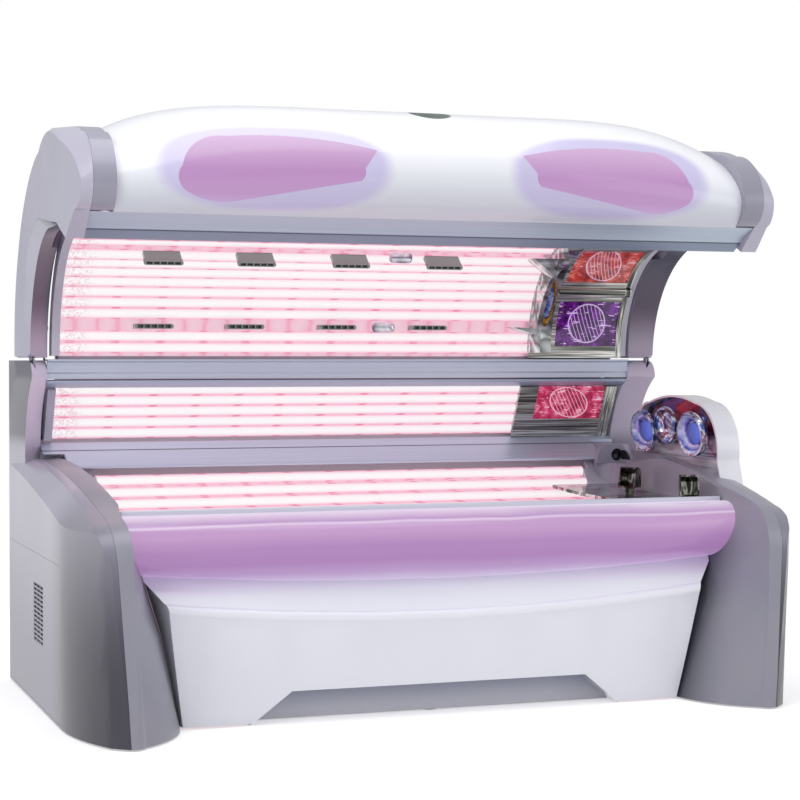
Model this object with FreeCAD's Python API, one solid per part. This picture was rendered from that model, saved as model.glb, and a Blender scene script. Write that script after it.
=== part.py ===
import FreeCAD, Part
import math
import os

# Clamshell tanning bed, standing on its levelling feet.
# Millimetres; +X runs along the bed towards the head end, -Y is the side a user
# climbs in from, +Z is up, and the origin is under the middle of the bed, on the floor.
# The canopy is drawn open.

V = FreeCAD.Vector
X_AXIS, Y_AXIS, Z_AXIS = V(1, 0, 0), V(0, 1, 0), V(0, 0, 1)

# ------------------------------------------------------------------ driving dimensions
SIDE_X = 1190.0            # outer face of the end casings
NOSE_Y = -718.0            # front of the casing noses
REAR_Y = 718.0             # rear face of the bed
CASING_LIFT = 6.0          # gap under casings and fascia
FOOT_HEIGHT = 24.0         # underside of the frame above the floor
SHELL_WALL = 5.0           # moulded ABS shells
TRIM_WALL = 4.0            # inner cheeks and caps
SEAM = 0.8                 # visible joint between two mouldings
FIT = 0.3                  # assembly clearance between mouldings and what they meet

TOWER_WIDTH = 92.0         # rear towers, along the bed
TOWER_IN_X = SIDE_X - TOWER_WIDTH
TOWER_TOP = 1127.0         # top of the rear towers
ARM_GAP = 9.0              # between a tower and its canopy arm
ARM_FOOT = TOWER_TOP + ARM_GAP
FOOT_LEDGE = 795.0         # where the fender meets the foot of the tower

HINGE_Y = 420.0
HINGE_RISE = 5.0           # hinge pins above the tower tops
HINGE_Z = TOWER_TOP + HINGE_RISE
HINGE_PIN_R = 5.0
HINGE_BOSS_R = 9.0

LAMP_R = 19.0              # T12 fluorescent tube, 38 mm
LAMP_GAP = 4.0             # tube to acrylic
LAMP_LEFT_X, LAMP_RIGHT_X = -1056.0, 690.0      # 1.75 m tubes
HOLDER = 14.0              # lamp holder strip thickness
ACRYLIC = 4.0              # clear acrylic sheet
REFLECTOR = 1.5            # aluminium reflector sheet

TUNNEL_Y, TUNNEL_Z = 54.0, 1150.0               # centre of the canopy's lamp arc
TUNNEL_R = 400.0                                # inner face of the canopy acrylic
CEILING_FRONT_Y = -325.0                        # front edge of the flat part of the ceiling
CANOPY_PITCH = 5.43                             # degrees from lamp to lamp
CANOPY_FIRST = 2.85                             # angle of the lowest canopy lamp
CANOPY_LAMPS = 16                               # places along the arc
VENT_PLACES = (2, 10)                           # lamp places given up to the air ducts
CEILING_PITCH = 41.0
CEILING_LAMPS = 9

BENCH_R = 586.0                                 # top face of the bench acrylic
BENCH_Y, BENCH_Z = 12.0, 1076.0
BENCH_FROM, BENCH_TO = -132.4, -33.8            # ends of the bench arc, degrees
BENCH_LAMPS = 20
BENCH_LAMP_HALF = 925.0

SIDE_TOP = (527.0, 1029.9)                      # side lamp wall, upper end (y, z)
SIDE_FOOT = (625.6, 838.6)                      # side lamp wall, lower end
SIDE_LAMPS = 5

RAIL_HALF = TOWER_IN_X - FIT                    # aluminium rails across the tunnel
PARTING_Z = 1062.0                              # split between canopy rail and fixed rail

TUBE = 40.0                                     # frame tube, square
TUBE_WALL = 3.0

GAS_X = 1086.0
GAS_FOOT = (690.0, 860.0)                       # lower pivot of the gas spring (y, z)
GAS_EYE = (560.0, 1240.0)                       # upper pivot of the gas spring, canopy open
GAS_TUBE_R, GAS_ROD_R = 9.0, 4.0
GAS_TUBE_LENGTH = 250.0
GAS_PIN_R, GAS_EYE_R = 5.0, 14.0
GAS_LOOP_R = 15.0                               # the rod's eye is a wide loop


# ------------------------------------------------------------------ drawing helpers
def plane_point(axis, at):
    """Return the function that puts a flat point on the plane axis = at."""
    return {"x": lambda p: V(at, p[0], p[1]),
            "y": lambda p: V(p[0], at, p[1]),
            "z": lambda p: V(p[0], p[1], at)}[axis]


def wire(axis, at, outline):
    """Closed wire; an item (middle, end) is an arc, a plain point ends a line."""
    place = plane_point(axis, at)
    edges = []
    here = outline[0]
    for item in outline[1:] + outline[:1]:
        if isinstance(item[0], tuple):
            middle, end = item
            edges.append(Part.Arc(place(here), place(middle), place(end)).toShape())
        else:
            end = item
            edges.append(Part.LineSegment(place(here), place(end)).toShape())
        here = end
    return Part.Wire(edges)


def prism(axis, low, high, outline):
    """Solid between two planes across one axis."""
    face = Part.Face(wire(axis, low, outline))
    run = {"x": X_AXIS, "y": Y_AXIS, "z": Z_AXIS}[axis]
    return face.extrude(run * (high - low))


def loft(axis, sections, ruled=True):
    """Solid through a list of (place on the axis, outline)."""
    wires = [wire(axis, at, outline) for at, outline in sections]
    return Part.makeLoft(wires, True, ruled)


def block(x, y, z):
    """Box from three (low, high) pairs."""
    return Part.makeBox(x[1] - x[0], y[1] - y[0], z[1] - z[0], V(x[0], y[0], z[0]))


def rod_x(y, z, radius, low, high):
    return Part.makeCylinder(radius, high - low, V(low, y, z), X_AXIS)


def disc(centre, direction, radius, length):
    return Part.makeCylinder(radius, length, centre, direction)


def mirrored(shape):
    return shape.mirror(V(0, 0, 0), X_AXIS)


def polar(centre_y, centre_z, radius, degrees):
    turn = math.radians(degrees)
    return (centre_y + radius * math.cos(turn), centre_z + radius * math.sin(turn))


def sector(centre_y, centre_z, inner, outer, start, stop):
    """Outline of a curved strip between two radii."""
    mid = 0.5 * (start + stop)
    point = lambda r, a: polar(centre_y, centre_z, r, a)
    return [point(inner, start), (point(inner, mid), point(inner, stop)),
            point(outer, stop), (point(outer, mid), point(outer, start))]


def save(name, shape):
    """Write one node; a list of solids becomes one compound."""
    solids = shape if isinstance(shape, list) else [shape]
    whole = Part.makeCompound([s for item in solids for s in item.Solids])
    result = whole.Solids[0] if len(whole.Solids) == 1 else whole
    print(f"{name:28s} solids {len(whole.Solids):3d} valid {result.isValid()} "
          f"volume {result.Volume / 1000.0:10.1f} cm3")
    result.exportStep(f"parts/{name}.step")


# ------------------------------------------------------------------ end casings
# The inner face leans outwards as it rises: (height, x of the inner face).
LEAN = [(-40.0, 834.0), (300.0, 900.0), (480.0, 955.0), (660.0, 1022.0), (1200.0, 1036.0)]
FLARE_Y = -380.0           # in front of this the inner face curves out to the nose


INNER_EDGE_X = 1024.0                           # the fender's inner edge is rounded from here
HEAD_CREST, FOOT_CREST = 797.0, 778.0           # height of the fenders' highest line


def inner_x(z):
    """X of the casing's inner face at one height."""
    for (z0, x0), (z1, x1) in zip(LEAN, LEAN[1:]):
        if z <= z1:
            return x0 + (x1 - x0) * (z - z0) / (z1 - z0)
    return LEAN[-1][1]


def between_casings(clearance, y_low, y_high):
    """The room between the two casings, for trimming what spans it."""
    right = [(x - clearance, z) for z, x in LEAN]
    left = [(-x, z) for x, z in reversed(right)]
    return prism("y", y_low, y_high, right + left)


def inner_face(z, offset):
    """Inner face in plan, in front of the flare line: straight end, hollow, nose corner."""
    rise = min(max(z, 0.0), 600.0) / 600.0
    face = inner_x(z)
    nose_x = SIDE_X - 158.0 + 40.0 * rise
    hollow = 0.55 * face + 0.45 * nose_x - 40.0 + 44.0 * rise
    return (face + offset, FLARE_Y), (hollow + offset, NOSE_Y + 150.0), (nose_x - 26.0 + offset, NOSE_Y + 22.0)


def plan_outline(z, wall):
    """Casing in plan at one height, seen from above, inset by a wall."""
    rise = min(max(z, 0.0), 600.0) / 600.0
    start, hollow, corner = inner_face(z, wall)
    out = SIDE_X - wall
    rear = REAR_Y - wall
    nose = NOSE_Y + wall
    nose_x = SIDE_X - 158.0 + 40.0 * rise
    crease = (SIDE_X - 88.0 + 26.0 * rise - 0.6 * wall, nose + 44.0)
    return [(start[0], rear), start, (hollow, (corner[0], corner[1] + wall)),
            ((nose_x, nose), (nose_x + 28.0, nose + 8.0)),
            crease,
            ((out - 24.0, nose + 205.0), (out, nose + 390.0)),
            (out, rear)]


def between_noses(clearance):
    """The room between the casings, following the curved inner faces of the noses."""
    sections = []
    for z, _ in LEAN:
        start, hollow, corner = inner_face(z, -clearance)
        flip = [(-x, y) for x, y in (start, hollow, corner)]
        sections.append((z, [(start[0], REAR_Y), start, (hollow, corner), flip[2],
                             (flip[1], flip[0]), (flip[0][0], REAR_Y)]))
    return loft("z", sections)


def tower_front(x):
    """Offset in y of the tower's front edge: a ridge near the outer side."""
    if x <= TOWER_IN_X:
        return 0.0
    ridge = SIDE_X - 25.0
    if x <= ridge:
        return -92.0 * (x - TOWER_IN_X) / (ridge - TOWER_IN_X)
    return -92.0 + 180.0 * (x - ridge) / (SIDE_X - ridge)


def crest_drop(x):
    """How far the fender's crest lies below its highest line at one x; the inner edge is round."""
    edge = INNER_EDGE_X
    if x <= edge:
        rounding = 14.0
    elif x <= edge + 8.0:
        rounding = 4.5 + 9.5 * (edge + 8.0 - x) / 8.0
    else:
        rounding = max(4.5 * (edge + 22.0 - x) / 14.0, 0.0)
    outer = SIDE_X - 54.0
    if x < outer:
        return max(0.16 * (x - 886.0), 0.0) + rounding
    return 40.0 + 1.15 * (x - outer)


def side_outline(x, wall, crest):
    """Casing seen from the side at one x: nose, fender, foot of the tower, tower."""
    drop = crest_drop(x) + wall
    nose = NOSE_Y - 6.0 + wall
    tower = tower_front(x) + wall
    top = TOWER_TOP - wall
    return [(nose, -60.0), (nose + 28.0, 545.0 - drop),
            ((nose + 62.0, 636.0 - drop), (nose + 150.0, 686.0 - drop)),
            ((-30.0, crest - drop), (612.0 + tower, FOOT_LEDGE - 0.3 * drop)),
            ((572.0 + tower, 945.0), (458.0 + tower + 0.4 * wall, 1066.0)),
            ((469.0 + tower, 1103.0 - 0.7 * wall), (512.0 + tower, top)),
            (REAR_Y + 2.0 - wall, top), (REAR_Y + 2.0 - wall, -60.0)]


def casing_solid(wall, head_end):
    """One casing's whole form on the right, inset by a wall; the head end's has the scoop."""
    plan = loft("z", [(z, plan_outline(z, wall)) for z, _ in LEAN])
    crest = HEAD_CREST if head_end else FOOT_CREST
    edge = INNER_EDGE_X
    places = [800.0, edge, edge + 8.0, edge + 22.0, TOWER_IN_X, SIDE_X - 54.0, SIDE_X - 25.0, SIDE_X + 6.0]
    side = loft("x", [(x, side_outline(x, wall, crest)) for x in places])
    form = plan.common(side)
    room = block((800.0, TOWER_IN_X + wall), (-900.0, 900.0), (FOOT_LEDGE + 6.0 - wall, 1300.0))
    form = form.cut(room)
    return form.cut(scoop(wall)) if head_end else form


def scoop(wall):
    """Dip of the head end's fender behind its hump, down to the seat of the corner cover."""
    low, front, back = SCOOP_FLOOR - wall, SCOOP_Y[0] - wall, SCOOP_Y[1] + wall
    return prism("x", 700.0, SCOOP_X + wall,
                 [(40.0 - wall, 778.0 - wall), ((200.0, 762.0 - wall), (front, 742.0 - wall)),
                  (front, low), (back, low), (back, 900.0), (40.0 - wall, 900.0)])


SCOOP_X = 1078.0                                # outer side of the scoop
SCOOP_Y = (330.0, 470.0)
SCOOP_FLOOR = 655.0


def cheek_region(gap):
    """Everything on the tunnel's side of the joint line in the casing."""
    return prism("y", -900.0, 596.0 - gap,
                 [(700.0, -80.0), (1048.0 - gap, -80.0), (1106.0 - gap, FOOT_LEDGE - gap),
                  (700.0, FOOT_LEDGE - gap)])


PANEL_Y = (-322.0, 704.0)
PANEL_Z = (14.0, 501.0)
PANEL_T = 3.0
GRILLE_Y = (2.0, 186.0)
GRILLE_Z = (212.0, 404.0)
GRILLE_SLOTS = 13
GRILLE_COLUMNS = 3
GRILLE_BAR = 4.0


def service_panel():
    """Flat removable panel on the outer side, with the grille's opening."""
    plate = block((SIDE_X - PANEL_T, SIDE_X), (PANEL_Y[0] + SEAM, PANEL_Y[1] - SEAM),
                  (PANEL_Z[0] + SEAM, PANEL_Z[1] - SEAM))
    return plate.cut(block((SIDE_X - 20.0, SIDE_X + 5.0), GRILLE_Y, GRILLE_Z))


def side_grille():
    """Louvred air inlet in the service panel."""
    plate = block((SIDE_X - PANEL_T, SIDE_X - 0.5), GRILLE_Y, GRILLE_Z)
    pitch = (GRILLE_Z[1] - GRILLE_Z[0]) / GRILLE_SLOTS
    width = (GRILLE_Y[1] - GRILLE_Y[0]) / GRILLE_COLUMNS
    slots = []
    for row in range(GRILLE_SLOTS):
        z = GRILLE_Z[0] + row * pitch + GRILLE_BAR
        for column in range(GRILLE_COLUMNS):
            y = GRILLE_Y[0] + column * width + GRILLE_BAR
            slots.append(block((SIDE_X - 20.0, SIDE_X + 5.0), (y, y + width - 2.0 * GRILLE_BAR),
                               (z, z + pitch - 2.0 * GRILLE_BAR)))
    return plate.cut(Part.makeCompound(slots))


def biggest(shape):
    return max(shape.Solids, key=lambda piece: piece.Volume)


def casing_parts(head_end):
    """Outer shell and inner cheek of one casing, drawn on the right."""
    shell = casing_solid(0.0, head_end).cut(casing_solid(SHELL_WALL, head_end))
    shell = shell.cut(block((700.0, 1300.0), (-900.0, 900.0), (-100.0, CASING_LIFT)))
    shell = shell.cut(Part.makeCompound(casing_notches()))
    cheek = shell.common(cheek_region(SEAM))
    outer = shell.cut(cheek_region(0.0))
    recess = block((SIDE_X - PANEL_T, SIDE_X + 9.0), PANEL_Y, PANEL_Z)
    inlet = block((SIDE_X - 30.0, SIDE_X + 9.0), GRILLE_Y, GRILLE_Z)
    return biggest(outer.cut(recess).cut(inlet)), biggest(cheek)


# ------------------------------------------------------------------ frame and feet
POST_X = 1140.0                                 # middle of the posts inside the casings
FRAME_FRONT, FRAME_REAR = -320.0, 640.0
REAR_TUBE_Z = 772.0
SIDE_TUBE_Z = 500.0
CROSS_X = 560.0
FOOT_R = 30.0
HINGE_PLATE_X = (1148.0, 1154.0)
HINGE_LEAF_X = (1157.0, 1163.0)
GAS_CHEEK_X = (1104.0, 1110.0)


def tube_section(a, b, half):
    return (a - half, a + half), (b - half, b + half)


def tube(axis, low, high, a, b):
    """Square tube along an axis, centred on (a, b) in the other two."""
    skins = []
    for half in (0.5 * TUBE, 0.5 * TUBE - TUBE_WALL):
        first, second = tube_section(a, b, half)
        spans = {"x": ((low, high), first, second),
                 "y": (first, (low, high), second),
                 "z": (first, second, (low, high))}[axis]
        skins.append(block(*spans))
    return skins[0].cut(skins[1])


def casing_notches():
    """Openings in the casing's walls for what passes through them."""
    half = 0.5 * TUBE + FIT
    through = (760.0, POST_X - 0.5 * TUBE)
    notches = [block(through, (y - half, y + half), (-10.0, FOOT_HEIGHT + TUBE + FIT))
               for y in (FRAME_FRONT, FRAME_REAR)]
    notches.append(block(through, *tube_section(FRAME_REAR, REAR_TUBE_Z, half)))
    notches.append(block((HINGE_PLATE_X[0] - 1.0, HINGE_LEAF_X[1] + 3.0),
                         (HINGE_Y - 22.0, HINGE_Y + 26.0), (HINGE_Z - 50.0, HINGE_Z)))
    notches.append(rod_x(GAS_FOOT[0], GAS_FOOT[1], 8.0, TOWER_IN_X - 5.0, GAS_CHEEK_X[0]))
    return notches


def base_frame():
    """Welded tubes: two long rails, cross tubes, four posts and a rear beam."""
    half = 0.5 * TUBE
    rail_z = FOOT_HEIGHT + half
    reach = POST_X - half
    between = (FRAME_FRONT + half, FRAME_REAR - half)
    pieces = [tube("x", -reach, reach, FRAME_FRONT, rail_z),
              tube("x", -reach, reach, FRAME_REAR, rail_z),
              tube("x", -reach, reach, FRAME_REAR, REAR_TUBE_Z)]
    for x in (-CROSS_X, CROSS_X):
        pieces.append(tube("y", *between, x, rail_z))
    for x in (-POST_X, POST_X):
        pieces.append(tube("z", FOOT_HEIGHT, SIDE_TUBE_Z + half, x, FRAME_FRONT))
        pieces.append(tube("z", FOOT_HEIGHT, HINGE_Z - 42.0, x, FRAME_REAR))
        pieces.append(tube("y", *between, x, rail_z))
        pieces.append(tube("y", *between, x, SIDE_TUBE_Z))
    return pieces


def hinge_plates():
    """Fixed hinge plates on the rear posts, each with its pin."""
    post = FRAME_REAR - 0.5 * TUBE
    foot, boss = HINGE_Z - 172.0, HINGE_BOSS_R
    plate = prism("x", HINGE_PLATE_X[0], HINGE_PLATE_X[1],
                  [(post, foot), (post, foot + 120.0), (HINGE_Y + 20.0, HINGE_Z - 24.0),
                   (HINGE_Y + boss, HINGE_Z), ((HINGE_Y, HINGE_Z + boss), (HINGE_Y - boss, HINGE_Z)),
                   (HINGE_Y - boss, HINGE_Z - 24.0)])
    pin = rod_x(HINGE_Y, HINGE_Z, HINGE_PIN_R, HINGE_PLATE_X[0], HINGE_LEAF_X[1] + 2.0)
    one = plate.fuse(pin).removeSplitter()
    return [one, mirrored(one)]


def levelling_feet():
    """Pads on threaded stems under the long rails."""
    outline = [(0.0, 0.0), (FOOT_R, 0.0), (FOOT_R, 6.0), (10.0, 12.0), (6.0, 12.0),
               (6.0, FOOT_HEIGHT), (0.0, FOOT_HEIGHT)]
    foot = Part.Face(wire("y", 0.0, outline)).revolve(V(0, 0, 0), Z_AXIS, 360)
    return [foot.translated(V(x, y, 0)) for x in (60.0 - POST_X, 0.0, POST_X - 60.0)
            for y in (FRAME_FRONT, FRAME_REAR)]


# ------------------------------------------------------------------ front of the base
BAND_TOP = (-404.0, 655.0)
BAND_FRONT = (-508.0, 575.0)
BAND_FOOT = (-425.0, 482.0)
BAND_DIP = 50.0
CREASE = (-498.0, 392.0)
CREASE_DIP = 70.0
FASCIA_FOOT = (-440.0, 8.0)
FRONT_HALF = 1060.0
FRONT_SPANS = [FRONT_HALF * i / 4.0 for i in range(-4, 5)]
KICK_LOW, KICK_HIGH, KICK_Z = 640.0, 497.0, 104.0
KICK_FOOT = 3.0                                 # the tray behind it ends just above the floor


def sag(x, depth):
    """How far a front line dips at x, deepest in the middle."""
    return depth * (1.0 - (x / FRONT_HALF) ** 2)


BAND_SKIN = 4.5
FASCIA_WALL = 8.0
FASCIA_BACK = -400.0
FASCIA_GAP = 2.5           # from the fascia's ends to the casings


def light_band():
    """Frosted acrylic light cover: a bulging strip that dips in the middle."""
    def section(x):
        low = BAND_FOOT[1] - sag(x, BAND_DIP)
        middle = 0.5 * (BAND_TOP[1] + low)
        return [BAND_TOP, ((BAND_FRONT[0], middle), (BAND_FOOT[0], low)),
                (BAND_FOOT[0] + BAND_SKIN, low),
                ((BAND_FRONT[0] + BAND_SKIN, middle), (BAND_TOP[0], BAND_TOP[1] - BAND_SKIN))]
    body = loft("x", [(x, section(x)) for x in FRONT_SPANS])
    return body.common(between_noses(FIT))


def band_lamp():
    """LED strip carrier behind the light cover."""
    return block((-BENCH_LAMP_HALF, BENCH_LAMP_HALF), (-432.0, BAND_TOP[0]), (570.0, 595.0))


def end_bevel(wall):
    """What the slanting return at the fascia's right end takes off: (height, x in front, x behind)."""
    levels = ((-30.0, 786.0, 851.0), (CREASE[1], 853.0, 946.0), (520.0, 933.0, 1026.0))
    return loft("z", [(z, [(front - wall, -640.0), (back - wall, FLARE_Y + 30.0), (1150.0, FLARE_Y + 30.0),
                           (1150.0, -640.0)]) for z, front, back in levels])


def fascia_form(wall):
    """Whole form of the front panel, inset by a wall and then open behind, above and below."""
    over = 40.0 if wall else 0.0

    def section(x):
        crease_z = CREASE[1] - sag(x, CREASE_DIP)
        top_z = BAND_FOOT[1] - sag(x, BAND_DIP) - FIT
        low = FASCIA_FOOT[1] - over
        lip = [(BAND_FOOT[0] - 4.0 + wall, top_z + over)] if over else []
        foot = [(FASCIA_FOOT[0] + wall, low)] if over else []
        return [*foot, (FASCIA_FOOT[0] + wall, FASCIA_FOOT[1]), (CREASE[0] + wall, crease_z - 14.0),
                ((CREASE[0] - 1.0 + wall, crease_z + 8.0), (CREASE[0] + 14.0 + wall, crease_z + 20.0)),
                (BAND_FOOT[0] - 4.0 + wall, top_z), *lip,
                (FASCIA_BACK + over, top_z + over), (FASCIA_BACK + over, low)]
    body = loft("x", [(x, section(x)) for x in FRONT_SPANS])
    bevel = end_bevel(wall)
    return body.common(between_noses(FASCIA_GAP + wall)).cut(bevel).cut(mirrored(bevel))


def front_fascia():
    """White front panel: upper ledge, crease, a face that falls back to the toe kick, and returns."""
    body = fascia_form(0.0).cut(fascia_form(FASCIA_WALL))
    return biggest(body.cut(prism("y", -700.0, -300.0, kick_outline(0.0))))


def kick_outline(wall):
    """Toe kick seen from the front, open at the floor."""
    return [(-KICK_LOW - wall, -10.0), (-KICK_HIGH - wall, KICK_Z + wall),
            (KICK_HIGH + wall, KICK_Z + wall), (KICK_LOW + wall, -10.0)]


def kick_recess_panel():
    """Tray behind the toe kick: back, roof and sloping ends."""
    tray = prism("y", -460.0, -352.0, kick_outline(TRIM_WALL))
    tray = tray.cut(prism("y", -470.0, -356.0, kick_outline(0.0)))
    tray = tray.cut(block((-700.0, 700.0), (-480.0, -300.0), (-20.0, KICK_FOOT)))
    foot = FASCIA_FOOT[0] + FASCIA_WALL + FIT
    lean = 10.5
    return tray.cut(prism("x", -700.0, 700.0, [(-480.0, 0.0), (foot, 0.0), (foot, FASCIA_FOOT[1]),
                                               (foot - lean, KICK_Z), (foot - lean, 130.0),
                                               (-480.0, 130.0)]))


def bench_front_rail():
    """Aluminium edge profile behind the light cover, carrying the bench acrylic."""
    front = BAND_TOP[0] + FIT
    lip = front + 23.0
    outline = [(front, 560.0), (front, 664.0), ((front + 6.0, 670.0), (front + 12.0, 664.0)),
               (lip, 654.0), (lip, 643.2), (front + 4.0, 643.2), (front + 4.0, 560.0)]
    return prism("x", -1020.0, 1020.0, outline).common(between_casings(FIT, -600.0, -300.0))


# ------------------------------------------------------------------ bench
BENCH_SHEET = 5.0
LEDGE_END_X = 1012.0                            # the bench's pale end plates reach this far


def bench_sector(inner, outer, low, high, trim):
    outline = sector(BENCH_Y, BENCH_Z, inner, outer, BENCH_FROM + trim, BENCH_TO - trim)
    return prism("x", low, high, outline)


def bench_acrylic():
    """Curved clear sheet that the user lies on."""
    end = BENCH_LAMP_HALF + HOLDER - FIT
    return bench_sector(BENCH_R, BENCH_R + BENCH_SHEET, -end, end, 0.1)


def bench_lamp_places():
    step = (BENCH_TO - BENCH_FROM - 6.0) / (BENCH_LAMPS - 1)
    radius = BENCH_R + BENCH_SHEET + LAMP_GAP + LAMP_R
    return [polar(BENCH_Y, BENCH_Z, radius, BENCH_FROM + 3.0 + i * step) for i in range(BENCH_LAMPS)]


def bench_end_plates():
    """Pale end plates under the bench sheet's ends, which hold the lamps."""
    behind = bench_sector(BENCH_R + BENCH_SHEET + FIT, BENCH_R + 52.0, BENCH_LAMP_HALF + 0.1,
                          BENCH_LAMP_HALF + HOLDER, 3.0)
    ledge = bench_sector(BENCH_R, BENCH_R + 14.0, BENCH_LAMP_HALF + HOLDER, LEDGE_END_X, 0.1)
    one = behind.fuse(ledge).common(between_casings(FIT, -600.0, 600.0)).removeSplitter()
    return [one, mirrored(one)]


def lamp_row(places, low, high):
    return [rod_x(y, z, LAMP_R, low, high) for y, z in places]


def base_reflector():
    radius = BENCH_R + 52.0 + FIT
    end = BENCH_LAMP_HALF + HOLDER
    return bench_sector(radius, radius + REFLECTOR, -end, end, 3.0)


# ------------------------------------------------------------------ rear wall of the tunnel
CORNER_X = 1003.0                               # where the rail gives way to the corner cover


def slope_outline(lift):
    """Sloping profile between bench and side lamps, its face raised by a lift."""
    return [(640.0, 812.0), (600.0, 812.0), (492.0, 764.0), (478.0, 754.0), (463.0, 754.0),
            ((456.0, 758.0 + lift), (463.0, 764.0 + lift)), (622.0, 836.0 + lift),
            (630.0, 838.0 + lift), (640.0, 838.0 + lift)]


def rail_lower():
    """Sloping aluminium profile from casing to casing, cut back for the corner cover."""
    rail = prism("x", -RAIL_HALF, RAIL_HALF, slope_outline(0.0))
    beside = prism("y", 400.0, 700.0, [(RAIL_HALF + 5.0, 700.0), (RAIL_HALF + 5.0, FOOT_LEDGE + 6.0 + FIT),
                                       (inner_x(FOOT_LEDGE) - FIT, FOOT_LEDGE + 6.0 + FIT),
                                       (inner_x(700.0) - FIT, 700.0)])
    corner = block((CORNER_X, 1200.0), (400.0, 594.0), (700.0, 900.0))
    return biggest(rail.cut(beside).cut(mirrored(beside)).cut(corner))


def corner_cover(casing_form):
    """Moulded cover at the head end that joins rail, fender and bench, with a recessed knob."""
    right, seat = SCOOP_X - FIT, SCOOP_FLOOR + 0.5
    front, panel_y = SCOOP_Y[0] + 1.0, 430.0
    middle_z, top_z = 742.0, 812.0
    panel = block((955.0, right), (panel_y, 593.0), (middle_z - 1.0, top_z))
    plan = [(955.0, 448.0), (965.0, 447.0), ((1006.0, 426.0), (1024.0, 380.0)), (1024.0, front),
            (right, front), (right, SCOOP_Y[1] - FIT), (955.0, SCOOP_Y[1] - FIT)]
    lower = prism("z", seat, middle_z, plan)
    gusset = prism("x", 1056.0, right, [(front, middle_z - 1.0), (350.0, 752.0), (418.0, top_z),
                                        (panel_y + 1.0, top_z), (panel_y + 1.0, middle_z - 1.0)])
    shape = prism("y", 300.0, 600.0, [(986.0, top_z), ((958.0, 757.0), (972.0, 697.0)),
                                      ((995.0, 668.0), (1031.0, seat)), (right, seat), (right, top_z)])
    body = panel.fuse([lower, gusset]).common(shape)
    body = body.cut(block((900.0, CORNER_X + SEAM), (455.0, 700.0), (600.0, 900.0)))
    body = body.cut(bench_sector(BENCH_R - FIT, BENCH_R + 60.0, 900.0, LEDGE_END_X + FIT, 0.0))
    body = body.cut(disc(V(1040.0, panel_y - 1.0, 772.0), Y_AXIS, 24.0, 11.0))
    body = body.cut(block((1051.0, 1057.0), (panel_y, panel_y + 22.0), (758.0, 786.0)))
    body = biggest(body.cut(casing_form))
    knob = disc(V(1034.0, panel_y + 1.0, 766.0), Y_AXIS, 7.0, 11.0)
    return biggest(body.fuse(knob).removeSplitter())


def rail_upper_fixed():
    """Lower half of the upper rail, fixed to the towers."""
    outline = [(469.0, PARTING_Z - 1.0), (472.0, 1048.0), (524.0, 1032.0), (536.0, 1032.0),
               (536.0, 1038.0), (500.0, PARTING_Z - 1.0)]
    return prism("x", -RAIL_HALF, RAIL_HALF, outline)


def side_wall(offset, thickness, trim=0.0):
    """Straight strip parallel to the side lamp wall, at an offset behind it."""
    (y0, z0), (y1, z1) = SIDE_TOP, SIDE_FOOT
    length = math.hypot(y1 - y0, z1 - z0)
    ty, tz = (y1 - y0) / length, (z1 - z0) / length
    return [(y0 + ty * along - tz * depth, z0 + tz * along + ty * depth)
            for along, depth in ((trim, offset), (trim, offset + thickness),
                                 (length - trim, offset + thickness), (length - trim, offset))]


def side_lamp_places():
    (y0, z0), _, _, (y1, z1) = side_wall(ACRYLIC + LAMP_GAP + LAMP_R, 1.0)
    step = 1.0 / SIDE_LAMPS
    return [(y0 + (y1 - y0) * (i + 0.5) * step, z0 + (z1 - z0) * (i + 0.5) * step)
            for i in range(SIDE_LAMPS)]


def side_acrylic():
    return prism("x", LAMP_LEFT_X, SHOULDER_FRAME_X[0] - FIT, side_wall(0.0, ACRYLIC))


SIDE_DEPTH = ACRYLIC + LAMP_GAP + 2.0 * LAMP_R + 4.0


def side_holders():
    """Grey edge strips that hold the side lamps at both ends."""
    return [prism("x", END_STRIP_X, LAMP_LEFT_X - FIT, side_wall(0.0, SIDE_DEPTH - FIT, 6.0)),
            prism("x", LAMP_RIGHT_X + FIT, LAMP_RIGHT_X + HOLDER,
                  side_wall(9.0, SIDE_DEPTH - 9.0 - FIT, 6.0))]


def side_reflector():
    return prism("x", LAMP_LEFT_X - HOLDER, LAMP_RIGHT_X + HOLDER, side_wall(SIDE_DEPTH, REFLECTOR))


EXHAUST_SLOTS = 6


def rear_panel():
    """Sheet cover over the whole back, with an exhaust opening and a top flange."""
    ledge = FOOT_LEDGE + 6.0 + FIT
    inner, outer = REAR_Y - 4.0, REAR_Y
    low = block((-RAIL_HALF, RAIL_HALF), (inner, outer), (16.0, ledge)).common(
        between_casings(FIT, inner, outer))
    high = block((-RAIL_HALF, RAIL_HALF), (inner, outer), (ledge, 1040.0))
    flange = block((-1050.0, 1050.0), (600.0, inner), (1036.0, 1040.0))
    plate = low.fuse([high, flange]).removeSplitter()
    slots = [block((-150.0, 150.0), (inner - 5.0, outer + 5.0), (900.0 + 16.0 * i, 906.0 + 16.0 * i))
             for i in range(EXHAUST_SLOTS)]
    return plate.cut(Part.makeCompound(slots))


# ------------------------------------------------------------------ shoulder tanner, fixed
SHOULDER_FRAME_X = (686.0, 1084.0)
SHOULDER_X = (760.0, 1036.0)                    # filter glass
SHOULDER_Z = (905.0, 1031.0)
FRAME_SKIN = 6.0                                # the chrome stands this far in front of the glass


def height_band(low, high):
    return block((600.0, 1100.0), (400.0, 760.0), (low, high))


def shoulder_frame():
    """Chrome surround of the filter glass, filling the side wall's head end."""
    whole = prism("x", *SHOULDER_FRAME_X, side_wall(-FRAME_SKIN, FRAME_SKIN + ACRYLIC + 3.0))
    opening = prism("x", *SHOULDER_X, side_wall(-20.0, 60.0)).common(height_band(SHOULDER_Z[0], 1100.0))
    return whole.cut(opening).common(height_band(800.0, SHOULDER_Z[1]))


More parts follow.
